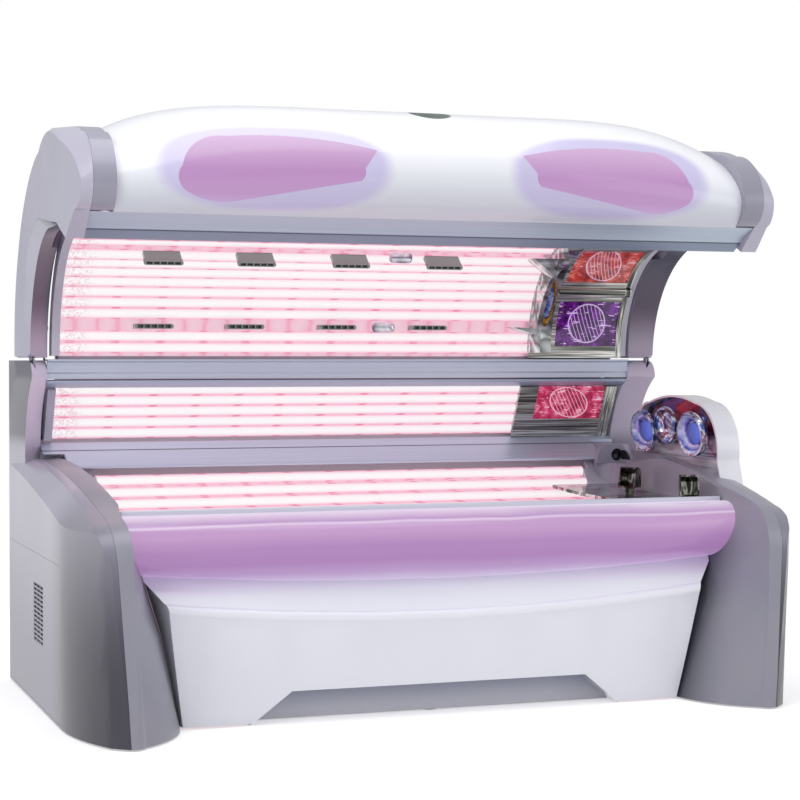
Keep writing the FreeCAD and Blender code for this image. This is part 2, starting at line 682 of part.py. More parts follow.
def shoulder_filter():
    """Tinted filter glass, let into its frame."""
    glass = prism("x", SHOULDER_X[0] + FIT, SHOULDER_X[1] - FIT, side_wall(0.0, ACRYLIC))
    return glass.common(height_band(SHOULDER_Z[0] + FIT, SHOULDER_Z[1] - 1.0))


BURNER_DEPTH = 34.0


def burner(centre, direction, radius):
    """High-pressure lamp in its dished reflector."""
    depth = BURNER_DEPTH
    outline = [(0.0, 0.0), (radius, 0.0), (radius, 3.0),
               ((0.72 * radius, 0.7 * depth), (0.25 * radius, depth)), (0.0, depth)]
    dish = Part.Face(wire("y", 0.0, outline)).revolve(V(0, 0, 0), Z_AXIS, 360)
    dish.Placement = FreeCAD.Placement(centre, FreeCAD.Rotation(Z_AXIS, direction))
    return dish


def shoulder_burner():
    """Burner on its carrier sheet, close behind the frame."""
    offset = ACRYLIC + 3.0 + FIT
    (y0, z0), _, _, (y1, z1) = side_wall(offset, 1.0)
    length = math.hypot(y1 - y0, z1 - z0)
    centre = V(0.5 * (SHOULDER_X[0] + SHOULDER_X[1]), 0.5 * (y0 + y1) - 14.0, 0.5 * (z0 + z1) + 27.0)
    dish = burner(centre, V(0, (z0 - z1) / length, (y1 - y0) / length), 62.0)
    carrier = prism("x", SHOULDER_X[0] - 8.0, SHOULDER_X[1] + 8.0, side_wall(offset, REFLECTOR))
    carrier = carrier.common(height_band(SHOULDER_Z[0] - 7.0, SHOULDER_Z[1] - 2.0))
    return biggest(carrier.fuse(dish).removeSplitter())


# ------------------------------------------------------------------ head end of the bench
TRAY_X = (762.0, 1016.0)
TRAY_Y = (-378.0, 405.0)
# (x, y, turn in degrees) of the two swivel outlets
TRAY_NOZZLES = ((955.0, 150.0, -38.0), (962.0, -290.0, -68.0))
NECK_R = 16.0
TURN_FIT = 0.05                                      # radial clearance of what turns by hand


def tray_outline(thickness):
    return [(-383.0, 652.0), ((20.0, 650.0), (440.0, 668.0)), (440.0, 668.0 - thickness),
            ((20.0, 650.0 - thickness), (-383.0, 652.0 - thickness))]


def tray_height(y):
    """Height of the deck's top at one y."""
    along = 0.001 * (y - 20.0)
    return 650.0 + 18.5 * along + 58.0 * along ** 2


def head_tray():
    """Bright moulded deck across the head end, with seats for two outlets."""
    body = prism("x", *TRAY_X, tray_outline(12.0)).common(between_casings(FIT, *TRAY_Y))
    for x, y, _ in TRAY_NOZZLES:
        body = body.cut(disc(V(x, y, 560.0), Z_AXIS, NECK_R + TURN_FIT, 160.0))
    return body


def tray_nozzle(x, y, turn):
    """Rectangular air scoop on a round swivel neck, its mouth leaning back."""
    top = tray_height(y)
    neck = disc(V(x, y, top - 22.0), Z_AXIS, NECK_R, 58.0)
    low, high = top + 14.0, top + 86.0
    outer = prism("y", y - 33.0, y + 33.0,
                  [(x + 24.0, low), (x - 34.0, low), (x - 8.0, high),
                   ((x + 14.0, high - 2.0), (x + 28.0, high - 22.0))])
    mouth = prism("y", y - 28.0, y + 28.0,
                  [(x + 14.0, low + 6.0), (x - 60.0, low + 6.0), (x - 34.0, high - 5.0),
                   (x - 4.0, high - 5.0), (x + 16.0, high - 24.0)])
    outlet = outer.fuse(neck).cut(mouth).removeSplitter()
    return outlet.rotated(V(x, y, 0.0), Z_AXIS, -turn)


# ------------------------------------------------------------------ pod on the head casing
POD_X = (1082.0, 1166.0)
POD_WALL = 7.0
POD_FACE_X = 1110.0
POD_LINER = 10.0
BALL_R = 20.0
# Ball centre (y, z) and radius of each bell.
POD_NOZZLES = ((238.0, 877.0, 78.0), (60.0, 904.0, 67.0), (-132.0, 878.0, 80.0))
PIVOT_R = 3.0                                   # pins above and below each ball
PIVOT_REACH = 27.0


LENS_SHARE = 0.5                                # lens radius as a share of the bowl's
LENS_SEAT = 50.0                                # bowl floor in front of the ball centre


def pod_outline(inset):
    """Side view of the pod's hood."""
    return [(-303.0 + inset, 690.0), (-272.0 + inset, 782.0),
            ((-224.0 + inset, 930.0 - inset), (-105.0, 981.0 - inset)),
            ((70.0, 1002.0 - inset), (250.0, 975.0 - inset)),
            ((328.0 - inset, 944.0 - inset), (352.0 - inset, 880.0)),
            (352.0 - inset, 790.0), (20.0, 745.0)]


def pod_shell(casing_form):
    """White hood on the fender, open towards the user's head."""
    hood = prism("x", *POD_X, pod_outline(0.0))
    hollow = prism("x", POD_X[0] - 40.0, POD_X[1] - 12.0, pod_outline(POD_WALL))
    return biggest(hood.cut(hollow).cut(casing_form.translated(V(0, 0, FIT))))


def pod_liner(casing_form):
    """Mirror-finished back wall inside the hood, with three ball seats."""
    middle = POD_FACE_X + 0.5 * POD_LINER
    plate = prism("x", POD_FACE_X, POD_FACE_X + POD_LINER, pod_outline(POD_WALL + FIT))
    for y, z, _ in POD_NOZZLES:
        plate = plate.cut(Part.makeSphere(BALL_R + TURN_FIT, V(middle, y, z), X_AXIS))
        plate = plate.cut(disc(V(middle, y, z - PIVOT_REACH - FIT), Z_AXIS, PIVOT_R + TURN_FIT,
                               2.0 * (PIVOT_REACH + FIT)))
    return biggest(plate.cut(casing_form.translated(V(0, 0, FIT))))


def facing_head(shape, y, z):
    """Set a turned part on its ball centre, looking at the user, a little forwards and down."""
    turn = FreeCAD.Rotation(Z_AXIS, V(-1.0, -0.12, -0.14))
    shape.Placement = FreeCAD.Placement(V(POD_FACE_X + 0.5 * POD_LINER, y, z), turn)
    return shape


def turned(outline):
    return Part.Face(wire("y", 0.0, outline)).revolve(V(0, 0, 0), Z_AXIS, 360)


def pod_nozzle(y, z, radius):
    """Bowl-shaped outlet on a ball, facing the user's head, with its two pivot pins."""
    neck = 0.6 * BALL_R
    join = math.sqrt(BALL_R ** 2 - neck ** 2)
    seat = LENS_SHARE * radius + 3.0
    bell = turned([(0.0, -join), (neck, -join), ((BALL_R, 0.0), (neck, join)), (neck, 22.0),
                   ((0.66 * radius, 30.0), (0.94 * radius, 50.0)), ((radius, 60.0), (radius - 4.0, 74.0)),
                   (radius - 10.0, 74.0), ((0.78 * radius, 58.0), (seat, LENS_SEAT)), (0.0, LENS_SEAT)])
    pins = disc(V(POD_FACE_X + 0.5 * POD_LINER, y, z - PIVOT_REACH), Z_AXIS, PIVOT_R, 2.0 * PIVOT_REACH)
    return facing_head(bell, y, z).fuse(pins).removeSplitter()


def pod_lens(y, z, radius):
    """Blue loudspeaker dome, seated in an outlet."""
    rim, low = LENS_SHARE * radius, LENS_SEAT + FIT
    return facing_head(turned([(0.0, low), (rim, low), (rim, low + 6.0),
                               ((0.55 * rim, low + 13.0), (0.15 * rim, low + 15.0)),
                               (0.0, low + 15.0)]), y, z)


# ------------------------------------------------------------------ inside the base
FAN = (0.0, 200.0, 230.0)                       # middle of the intake face
FAN_R = 120.0
FAN_DEPTH = 70.0
FAN_SHAFT_R = 9.0
FAN_BLADES = 7
TUBE_TOP = FOOT_HEIGHT + TUBE


def fan_housing():
    """Axial fan frame with its spider and shaft, on a bracket across the cross tubes."""
    x, y, z = FAN
    half = FAN_R + 18.0
    square = block((x - half, x + half), (y, y + FAN_DEPTH), (z - half, z + half))
    bore = disc(V(x, y - 5.0, z), Y_AXIS, FAN_R + 4.0, FAN_DEPTH + 10.0)
    spider = block((x - half + 2.0, x + half - 2.0), (y + FAN_DEPTH - 8.0, y + FAN_DEPTH),
                   (z - 8.0, z + 8.0))
    shaft = disc(V(x, y + 30.0, z), Y_AXIS, FAN_SHAFT_R, FAN_DEPTH - 30.0)
    legs = [block((x + side * half - 16.0, x + side * half + 16.0), (y, y + 40.0),
                  (TUBE_TOP + 10.0, z - FAN_R + 20.0)) for side in (-1, 1)]
    reach = CROSS_X + 0.5 * TUBE
    bracket = block((-reach, reach), (y, y + 40.0), (TUBE_TOP, TUBE_TOP + 12.0))
    return square.cut(bore).fuse([spider, shaft, bracket] + legs).removeSplitter()


def fan_rotor():
    """Bladed impeller on its hub."""
    x, y, z = FAN
    hub = disc(V(x, y + 6.0, z), Y_AXIS, 34.0, 40.0).cut(
        disc(V(x, y + 28.0, z), Y_AXIS, FAN_SHAFT_R + TURN_FIT, 40.0))
    blades = []
    for i in range(FAN_BLADES):
        blade = block((30.0, FAN_R - 3.0), (-14.0, 14.0), (-1.5, 1.5))
        blade = blade.rotated(V(0, 0, 0), X_AXIS, 38.0).translated(V(0, y + 26.0, 0))
        blade = blade.rotated(V(0, 0, 0), Y_AXIS, 360.0 * i / FAN_BLADES)
        blades.append(blade.translated(V(x, 0, z)))
    return hub.fuse(blades).removeSplitter()


def ballast_units():
    """Electronic lamp ballasts in two rows on the cross tubes."""
    units = []
    for side in (-1, 1):
        for row in range(3):
            x = side * (CROSS_X + 110.0)
            y = -290.0 + row * 160.0
            units.append(block((x - 140.0, x + 140.0), (y, y + 90.0), (TUBE_TOP, TUBE_TOP + 60.0)))
    return units


# ------------------------------------------------------------------ canopy
CAP_SEAM_X = 1120.0                             # joint between inner ring and outer cap
SHELL_HALF = 1050.0
RING_IN_X = SHELL_HALF + FIT
RIDGE_X = 1167.0
END_STRIP_X = -1084.0
HOOD_FOOT = (598.0, 1052.0)                     # rear lower edge of the cover


def canopy_shell_solid(wall):
    """Domed cover; sections from end to end, each a spline closed by its open side."""
    ends = [(-452.0, 1573.0), (-488.0, 1655.0), (-400.0, 1762.0), (-112.0, 1843.0),
            (240.0, 1735.0), (480.0, 1512.0), (592.0, 1170.0), HOOD_FOOT]
    near = [(-452.0, 1573.0), (-507.0, 1665.0), (-440.0, 1800.0), (-125.0, 1918.0),
            (250.0, 1830.0), (500.0, 1580.0), (596.0, 1170.0), HOOD_FOOT]
    centre = [(-452.0, 1573.0), (-548.0, 1700.0), (-485.0, 1835.0), (-150.0, 1936.0),
              (250.0, 1850.0), (505.0, 1600.0), (597.0, 1170.0), HOOD_FOOT]
    over = 1.0 if wall else 0.0
    rows = [(SHELL_HALF + over, ends), (0.8 * SHELL_HALF, near), (0.35 * SHELL_HALF, centre)]
    sections = [(-x, points) for x, points in rows] + [(0.0, centre)]
    sections += [(x, points) for x, points in reversed(rows)]
    wires = []
    for x, points in sections:
        inset = [inward(p, wall) for p in points]
        curve = Part.BSplineCurve()
        curve.interpolate([V(x, y, z) for y, z in inset])
        (y0, z0), (y1, z1) = inset[0], inset[-1]
        drop = 200.0 * over
        corners = [V(x, y1, z1), V(x, y1 - 1.0 - wall, z1 - drop - 1.0),
                   V(x, y0 + 1.0 + wall, z0 - 2.0 * drop - 1.0), V(x, y0, z0)]
        lines = [Part.LineSegment(a, b).toShape() for a, b in zip(corners, corners[1:])]
        wires.append(Part.Wire([curve.toShape()] + lines))
    return Part.makeLoft(wires, True, False)


def inward(point, distance):
    """Move a section point towards the middle of the canopy."""
    dy, dz = 60.0 - point[0], 1420.0 - point[1]
    length = math.hypot(dy, dz)
    return (point[0] + dy / length * distance, point[1] + dz / length * distance)


WINDOW = [(243.0, 1774.0), ((480.0, 1809.0), (708.0, 1808.0)), ((806.0, 1781.0), (849.0, 1712.0)),
          ((862.0, 1670.0), (840.0, 1636.0)), ((776.0, 1611.0), (684.0, 1609.0)), (300.0, 1677.0),
          ((288.0, 1694.0), (288.0, 1716.0))]
GRILLE_TOP = V(0.0, -322.0, 1887.0)
GRILLE_TOP_R = 57.0
GRILLE_DISH_R = 71.0                            # sunk dish round the grille
GRILLE_TILT = 17.0


def grille_axis():
    turn = math.radians(GRILLE_TILT)
    return V(0, -math.sin(turn), math.cos(turn))


def grille_bore(extra):
    """Round through-hole for the grille's dish."""
    axis = grille_axis()
    return disc(GRILLE_TOP - axis * 60.0, axis, GRILLE_DISH_R + extra, 160.0)


def canopy_shell_parts():
    """The cover with its two window apertures and the fan recess, and the windows."""
    shell = canopy_shell_solid(0.0).cut(canopy_shell_solid(SHELL_WALL))
    right = prism("y", -700.0, -250.0, WINDOW)
    apertures = right.fuse(mirrored(right))
    windows = shell.common(apertures)
    return biggest(shell.cut(apertures).cut(grille_bore(0.0))), windows.Solids


def top_grille():
    """Round air inlet: a dish let into the cover, flush with it, and crossing bars."""
    low, floor, high = -26.0, -14.0, 34.0
    dish = disc(V(0, 0, low), Z_AXIS, GRILLE_DISH_R - FIT, high - low)
    dish = dish.cut(Part.makeCone(GRILLE_TOP_R, GRILLE_DISH_R - 4.0, high - floor, V(0, 0, floor), Z_AXIS))
    dish = dish.cut(disc(V(0, 0, low - 1.0), Z_AXIS, GRILLE_TOP_R - 2.0, 20.0))
    bars = []
    for i in range(-3, 4):
        at = i * 15.0
        reach = math.sqrt((GRILLE_TOP_R - 1.0) ** 2 - at ** 2)
        bars.append(block((-reach, reach), (at - 2.0, at + 2.0), (low + 4.0, low + 8.0)))
        bars.append(block((at - 2.0, at + 2.0), (-reach, reach), (low + 4.0, low + 8.0)))
    grille = dish.fuse(bars).removeSplitter()
    grille.Placement = FreeCAD.Placement(GRILLE_TOP, FreeCAD.Rotation(Z_AXIS, grille_axis()))
    return biggest(grille.common(canopy_shell_solid(0.0)))


ARM_LEG = 364.0                                 # length of the arm's inner leg
ARM_Z = ARM_FOOT + ARM_LEG
CAP_BACK = [(597.0, ARM_FOOT), ((578.0, 1330.0), (500.0, 1505.0)), ((330.0, 1690.0), (61.0, 1806.0))]
CAP_TOP = [((-150.0, 1853.0), (-330.0, 1822.0)), ((-460.0, 1765.0), (-510.0, 1680.0)),
           ((-496.0, 1606.0), (-452.0, 1574.0))]
# The cap's outer side is lower and shorter at the front than its inner side.
CAP_OUTER_TOP = [((-140.0, 1850.0), (-290.0, 1802.0)), ((-428.0, 1735.0), (-514.0, 1650.0)),
                 ((-500.0, 1600.0), (-452.0, 1574.0))]
CAP_TIP = (-358.0, 1496.0)
CAP_ROUNDING = 14.0                             # softened outer edge


def arch(foot_y, middle, crown):
    """Open region under one canopy end, at one x."""
    return [(foot_y, 1000.0), (foot_y, ARM_FOOT), (middle, crown),
            (-253.0, 1549.0), (CAP_TIP[0], CAP_TIP[1] - 0.5), (-520.0, 1412.0), (-520.0, 1000.0)]


def arch_cutter():
    inner = arch(456.0, (338.0, 1434.0), (56.0, 1553.0))
    ridge = arch(390.0, (300.0, 1388.0), (20.0, 1548.0))
    outer = arch(500.0, (418.0, 1410.0), (110.0, 1600.0))
    return loft("x", [(1040.0, inner), (TOWER_IN_X, inner), (RIDGE_X, ridge), (SIDE_X + 8.0, outer)])


def shrunk(outline, distance):
    """Outline with every point moved towards the middle of the canopy."""
    return [tuple(inward(p, distance) for p in item) if isinstance(item[0], tuple)
            else inward(item, distance) for item in outline]


def canopy_arm():
    """Outer end cap and hinge arm in one moulding, with its ridge and scooped arch."""
    foot = [CAP_TIP, (HINGE_Y - 2.0, ARM_FOOT)]
    inner, outer = CAP_BACK + CAP_TOP + foot, CAP_BACK + CAP_OUTER_TOP + foot
    joint = CAP_SEAM_X + SEAM
    cap = loft("x", [(joint, inner), (SIDE_X - CAP_ROUNDING, outer),
                     (SIDE_X, shrunk(outer, 0.8 * CAP_ROUNDING))])
    cant = prism("z", ARM_FOOT, 2000.0, [(SIDE_X, -190.0), ((SIDE_X - 13.0, -365.0), (SIDE_X - 33.0, -520.0)),
                                         (SIDE_X - 40.0, -600.0), (SIDE_X + 30.0, -600.0),
                                         (SIDE_X + 30.0, -190.0)])
    foot_trim = block((joint - 1.0, SIDE_X + 1.0), (-700.0, 700.0), (900.0, ARM_FOOT))
    cap = cap.cut(cant).cut(foot_trim)
    leg = prism("x", TOWER_IN_X, joint, inner).common(
        block((TOWER_IN_X, joint), (150.0, 700.0), (ARM_FOOT, ARM_Z)))
    pocket = block((HINGE_LEAF_X[0] - FIT, HINGE_LEAF_X[1] + FIT), LEAF_Y, (ARM_FOOT - 5.0, LEAF_TOP))
    boss = HINGE_BOSS_R + 0.5
    seat = block((HINGE_PLATE_X[0] - 1.0, HINGE_LEAF_X[1] + 3.0), (HINGE_Y - boss, HINGE_Y + boss),
                 (ARM_FOOT - 5.0, HINGE_Z + boss))
    pin = rod_x(GAS_EYE[0], GAS_EYE[1], GAS_PIN_R, GAS_X - 8.0, joint)
    arm = biggest(cap.fuse(leg).cut(arch_cutter()).cut(pocket).cut(seat))
    return arm.fuse(pin).removeSplitter()


def canopy_rings():
    """Inner parts of the end caps, a band round each end of the cover."""
    band = prism("x", RING_IN_X, CAP_SEAM_X, CAP_BACK + CAP_TOP + [(300.0, ARM_Z), (560.0, ARM_FOOT)])
    inside = prism("x", 1000.0, 1200.0, [(524.0, 1100.0), ((386.0, 1482.0), (54.0, 1622.0)),
                                         (-430.0, 1600.0), (-430.0, 1100.0)])
    low = block((1000.0, 1200.0), (-600.0, 700.0), (1100.0, ARM_Z + SEAM))
    front = block((1000.0, 1200.0), (-600.0, 0.0), (1100.0, CAP_TOP[-1][1][1] + 0.5))
    one = biggest(band.cut(inside).cut(low).cut(front)).removeSplitter()
    return [one, mirrored(one)]


PROFILE_TOP = 1571.5
LEDGE_Z = TUNNEL_Z + TUNNEL_R - FIT             # the front profile carries the acrylic here


def canopy_front_profile():
    """Extruded aluminium edge of the canopy: a wide sloping face in two bands."""
    outline = [(-445.5, PROFILE_TOP), (-378.0, 1541.0), (-374.0, 1535.0), (-310.0, 1498.0),
               (-298.0, 1503.0), (-298.0, LEDGE_Z), (CEILING_FRONT_Y - 1.0, LEDGE_Z),
               (CEILING_FRONT_Y - 1.0, PROFILE_TOP)]
    return prism("x", -CAP_SEAM_X, CAP_SEAM_X, outline)


RAIL_TOP = 1131.0
FLANGE_Y = 527.7


def canopy_rear_rail():
    """Upper half of the upper rail; it swings with the canopy, its flange clear of the springs."""
    under = RAIL_TOP - 6.0
    split = PARTING_Z + 1.5
    outline = [(452.0, RAIL_TOP), (452.0, under), (462.0, under - 5.0), (463.0, 1086.0),
               (468.0, 1080.0), (469.0, split), (502.0, split), (502.0, 1070.0), (478.0, 1078.0),
               (474.0, under), (FLANGE_Y, under), (FLANGE_Y, RAIL_TOP)]
    clear = block((GAS_X - GAS_LOOP_R - 8.0, RAIL_HALF + 1.0), (FLANGE_Y - 22.0, FLANGE_Y + 1.0),
                  (under - 1.0, RAIL_TOP + 1.0))
    return prism("x", -RAIL_HALF, RAIL_HALF, outline).cut(clear).cut(mirrored(clear))


def tunnel_sheet(radius, thickness, low, high, first, front):
    """Sheet that follows the canopy's lamp arc and runs on flat to the front."""
    top = TUNNEL_Z + radius
    start = polar(TUNNEL_Y, TUNNEL_Z, radius, first)
    middle = polar(TUNNEL_Y, TUNNEL_Z, radius, 0.5 * (first + 90.0))
    thick = radius + thickness
    back = polar(TUNNEL_Y, TUNNEL_Z, thick, first)
    back_middle = polar(TUNNEL_Y, TUNNEL_Z, thick, 0.5 * (first + 90.0))
    outline = [start, (middle, (TUNNEL_Y, top)), (front, top), (front, top + thickness),
               (TUNNEL_Y, top + thickness), (back_middle, back)]
    return prism("x", low, high, outline)


def canopy_acrylic():
    return tunnel_sheet(TUNNEL_R, ACRYLIC, LAMP_LEFT_X, FACIAL_X[0] - FIT, -2.6, CEILING_FRONT_Y)


def canopy_lamp_places():
    radius = TUNNEL_R + ACRYLIC + LAMP_GAP + LAMP_R
    arc = [polar(TUNNEL_Y, TUNNEL_Z, radius, CANOPY_FIRST + i * CANOPY_PITCH)
           for i in range(CANOPY_LAMPS) if i not in VENT_PLACES]
    flat = [(TUNNEL_Y + 1.5 - i * CEILING_PITCH, TUNNEL_Z + radius) for i in range(CEILING_LAMPS)]
    return arc + flat


REFLECTOR_R = TUNNEL_R + ACRYLIC + LAMP_GAP + 2.0 * LAMP_R + 4.0
FRONT_TUBE = (-400.0, PROFILE_TOP + FIT + 0.5 * TUBE)
TOP_TUBE = (-60.0, 1700.0)
REAR_TUBE = (FLANGE_Y + FIT + 0.5 * TUBE, 1145.0)


def canopy_reflector():
    return tunnel_sheet(REFLECTOR_R, REFLECTOR, LAMP_LEFT_X - HOLDER, LAMP_RIGHT_X + HOLDER, -1.0,
                        FRONT_TUBE[0] + 0.5 * TUBE + FIT)


def canopy_end_strips():
    """Grey edge trims that carry the lamp holders at both ends, and the trim by the right arm."""
    inner, front = TUNNEL_R - 2.0, -298.0 + FIT
    depth = REFLECTOR_R - FIT - inner
    left = tunnel_sheet(inner, depth, END_STRIP_X, LAMP_LEFT_X - FIT, -1.0, front)
    holder = tunnel_sheet(inner + 11.0, depth - 11.0, LAMP_RIGHT_X + FIT, LAMP_RIGHT_X + HOLDER, -1.0,
                          front)
    right = tunnel_sheet(inner, depth, FACIAL_X[1] + FIT, -END_STRIP_X, -1.0, front)
    return [left, holder, right]


LEAF_Y = (HINGE_Y - HINGE_BOSS_R - 1.0, 470.0 + FIT)
LEAF_TOP = ARM_FOOT + 64.0
RIB_X = (-700.0, 0.0, 700.0)


def canopy_frame():
    """Tubes along the canopy, ribs between cover and reflector, and the hinge leaves."""
    along = [tube("x", -SHELL_HALF, SHELL_HALF, y, z) for y, z in (REAR_TUBE, TOP_TUBE, FRONT_TUBE)]
    solid = [block((-SHELL_HALF, SHELL_HALF), *tube_section(y, z, 0.5 * TUBE))
             for y, z in (REAR_TUBE, TOP_TUBE, FRONT_TUBE)]
    void_r = REFLECTOR_R + REFLECTOR + FIT
    void = prism("x", -800.0, 800.0,
                 [(TUNNEL_Y + void_r, 900.0), (TUNNEL_Y + void_r, TUNNEL_Z),
                  (polar(TUNNEL_Y, TUNNEL_Z, void_r, 45.0), (TUNNEL_Y, TUNNEL_Z + void_r)),
                  (-600.0, TUNNEL_Z + void_r), (-600.0, 900.0)])
    lining = canopy_shell_solid(SHELL_WALL + FIT).cut(void).cut(grille_bore(2.0))
    ribs = []
    for x in RIB_X:
        slab = block((x - 3.0, x + 3.0), (-600.0, 700.0), (REAR_TUBE[1], 2000.0))
        ribs.append(biggest(lining.common(slab).cut(Part.makeCompound(solid))))
    boss = HINGE_BOSS_R
    leaf = prism("x", *HINGE_LEAF_X,
                 [(HINGE_Y - boss, HINGE_Z), ((HINGE_Y, HINGE_Z - boss), (HINGE_Y + boss, HINGE_Z)),
                  (LEAF_Y[1] - FIT, LEAF_TOP - FIT), (HINGE_Y + 10.0, LEAF_TOP - FIT)])
    leaf = leaf.cut(rod_x(HINGE_Y, HINGE_Z, HINGE_PIN_R + TURN_FIT, 1100.0, 1200.0))
    return along + ribs + [leaf, mirrored(leaf)]


# ------------------------------------------------------------------ air nozzles in the canopy
VENT_X = (-742.0, -418.0, -78.0, 268.0)
SPRAY_X = 95.0
VENT_W, VENT_H, VENT_REACH = 136.0, 17.0, 46.0
VENT_CELLS = 5


def vent(x, degrees, tilt):
    """Flat five-cell air nozzle standing out of the lamp wall, pointing forwards or downwards."""
    y, z = polar(TUNNEL_Y, TUNNEL_Z, TUNNEL_R - FIT, degrees)
    half_w, half_h = 0.5 * VENT_W, 0.5 * VENT_H
    front = y - VENT_REACH
    throat = block((x - half_w + 5.0, x + half_w - 5.0), (front, y + 60.0), (z - half_h, z + half_h))
    lip = block((x - half_w, x + half_w), (front - 12.0, front + 4.0), (z - half_h, z + half_h))
    lip = lip.makeFillet(0.49 * VENT_H, [e for e in lip.Edges if abs(e.tangentAt(0).y) > 0.9])
    cell = (VENT_W - 16.0) / VENT_CELLS
    body = throat.fuse(lip)
    for i in range(VENT_CELLS):
        low = x - half_w + 8.0 + i * cell
        body = body.cut(block((low + 2.0, low + cell - 2.0), (front - 20.0, front + 6.0),
                              (z - half_h + 3.0, z + half_h - 3.0)))
    body = body.rotated(V(x, y, z), X_AXIS, tilt)
    inside = rod_x(TUNNEL_Y, TUNNEL_Z, TUNNEL_R - FIT, x - half_w, x + half_w)
    return body.common(inside).removeSplitter()


# How far each row stands to the right and up the wall, and how far down it points.
VENT_ROWS = ((0.0, 0.0, 0.0), (-4.0, 1.7, 42.0))
SPRAY_SHIFT = (0.0, 6.0)                        # the upper outlet stands a little further right


def air_nozzles():
    """Two rows of four nozzles."""
    rows = [CANOPY_FIRST + place * CANOPY_PITCH for place in VENT_PLACES]
    return [vent(x + shift, angle + lift, tilt)
            for angle, (shift, lift, tilt) in zip(rows, VENT_ROWS) for x in VENT_X]


def spray_nozzles():
    """Two rounded mist outlets beside the air nozzles."""
    outlets = []
    for place, shift in zip(VENT_PLACES, SPRAY_SHIFT):
        y, z = polar(TUNNEL_Y, TUNNEL_Z, TUNNEL_R - FIT, CANOPY_FIRST + place * CANOPY_PITCH)
        x = SPRAY_X + shift
        neck = disc(V(x, y + 20.0, z), V(0, -1, 0), 14.0, 54.0).common(
            rod_x(TUNNEL_Y, TUNNEL_Z, TUNNEL_R - FIT, x - 50.0, x + 50.0))
        head = block((x - 42.0, x + 42.0), (y - 62.0, y - 30.0), (z - 18.0, z + 18.0))
        head = head.makeFillet(14.0, head.Edges)
        outlets.append(head.fuse(neck).removeSplitter())
    return outlets


# ------------------------------------------------------------------ facial tanner in the canopy
FACIAL_X = (684.0, 1062.0)
GLASS_X = (790.0, 1040.0)
FACIAL_ANGLES = (4.5, 29.5, 42.0, 70.0)         # violet glass from-to, red glass from-to
HOUSING_R = (TUNNEL_R - 6.0, TUNNEL_R + ACRYLIC + 3.0)
BAR_R = 22.0
RIB_RIGHT_X = 770.0
RIB_DEPTH = 64.0


def facial_housing():
    """Bright surround of the two filter glasses, following the lamp arc, with its cross bar."""
    outer = tunnel_sheet(HOUSING_R[0], HOUSING_R[1] - HOUSING_R[0], *FACIAL_X, -2.0, -298.0 + FIT)
    low, high, low2, high2 = FACIAL_ANGLES
    for start, stop in ((low, high), (low2, high2)):
        outline = sector(TUNNEL_Y, TUNNEL_Z, TUNNEL_R - 30.0, TUNNEL_R + 30.0, start, stop)
        outer = outer.cut(prism("x", *GLASS_X, outline))
    bar_y, bar_z = polar(TUNNEL_Y, TUNNEL_Z, TUNNEL_R, 0.5 * (high + low2))
    bar = rod_x(bar_y, bar_z, BAR_R, RIB_RIGHT_X + FIT, FACIAL_X[1]).common(
        rod_x(TUNNEL_Y, TUNNEL_Z, TUNNEL_R, *FACIAL_X))
    return outer.fuse(bar).removeSplitter()


def facial_glass(start, stop):
    outline = sector(TUNNEL_Y, TUNNEL_Z, TUNNEL_R, TUNNEL_R + ACRYLIC, start + 0.05, stop - 0.05)
    return prism("x", GLASS_X[0] + FIT, GLASS_X[1] - FIT, outline)


def facial_burners():
    """Two burners on curved carrier sheets close behind the housing."""
    units = []
    inner = HOUSING_R[1] + FIT
    for start, stop in (FACIAL_ANGLES[:2], FACIAL_ANGLES[2:]):
        middle = 0.5 * (start + stop)
        y, z = polar(TUNNEL_Y, TUNNEL_Z, inner, middle)
        turn = math.radians(middle)
        dish = burner(V(0.5 * (GLASS_X[0] + GLASS_X[1]), y, z), V(0, math.cos(turn), math.sin(turn)), 76.0)
        outline = sector(TUNNEL_Y, TUNNEL_Z, inner, inner + REFLECTOR, start - 1.5, stop + 1.5)
        carrier = prism("x", GLASS_X[0] - 10.0, GLASS_X[1] + 10.0, outline)
        units.append(biggest(carrier.fuse(dish).removeSplitter()))
    return units


def facial_rib():
    """Broad curved bright rib between lamps and facial tanner, with its two wings."""
    inner, outer = HOUSING_R[0] - FIT - RIB_DEPTH, HOUSING_R[0] - FIT
    left = FACIAL_X[0]
    body = prism("x", left, left + 18.0, sector(TUNNEL_Y, TUNNEL_Z, inner, outer, 1.0, 78.0))
    slope = prism("x", left, RIB_RIGHT_X,
                  sector(TUNNEL_Y, TUNNEL_Z, outer - 8.0, outer, 1.0, 78.0))
    y, z = polar(TUNNEL_Y, TUNNEL_Z, TUNNEL_R - 40.0, 60.0)
    upper = prism("y", y - 40.0, y + 30.0, [(left - 90.0, z + 30.0), (left - 2.0, z - 36.0),
                                            (left + 10.0, z - 20.0), (left + 10.0, z + 30.0)])
    y2, z2 = polar(TUNNEL_Y, TUNNEL_Z, TUNNEL_R - 40.0, 14.0)
    lower = prism("y", y2 - 40.0, y2 + 20.0, [(left - 100.0, z2 + 12.0), (left, z2 - 18.0),
                                              (left + 10.0, z2), (left, z2 + 6.0)])
    wings = upper.fuse(lower).common(rod_x(TUNNEL_Y, TUNNEL_Z, outer, left - 120.0, left + 20.0))
    return body.fuse([slope, wings]).removeSplitter()


# ------------------------------------------------------------------ traction gas springs
def gas_direction():
    dy, dz = GAS_EYE[0] - GAS_FOOT[0], GAS_EYE[1] - GAS_FOOT[1]
    length = math.hypot(dy, dz)
    return V(0, dy / length, dz / length), length


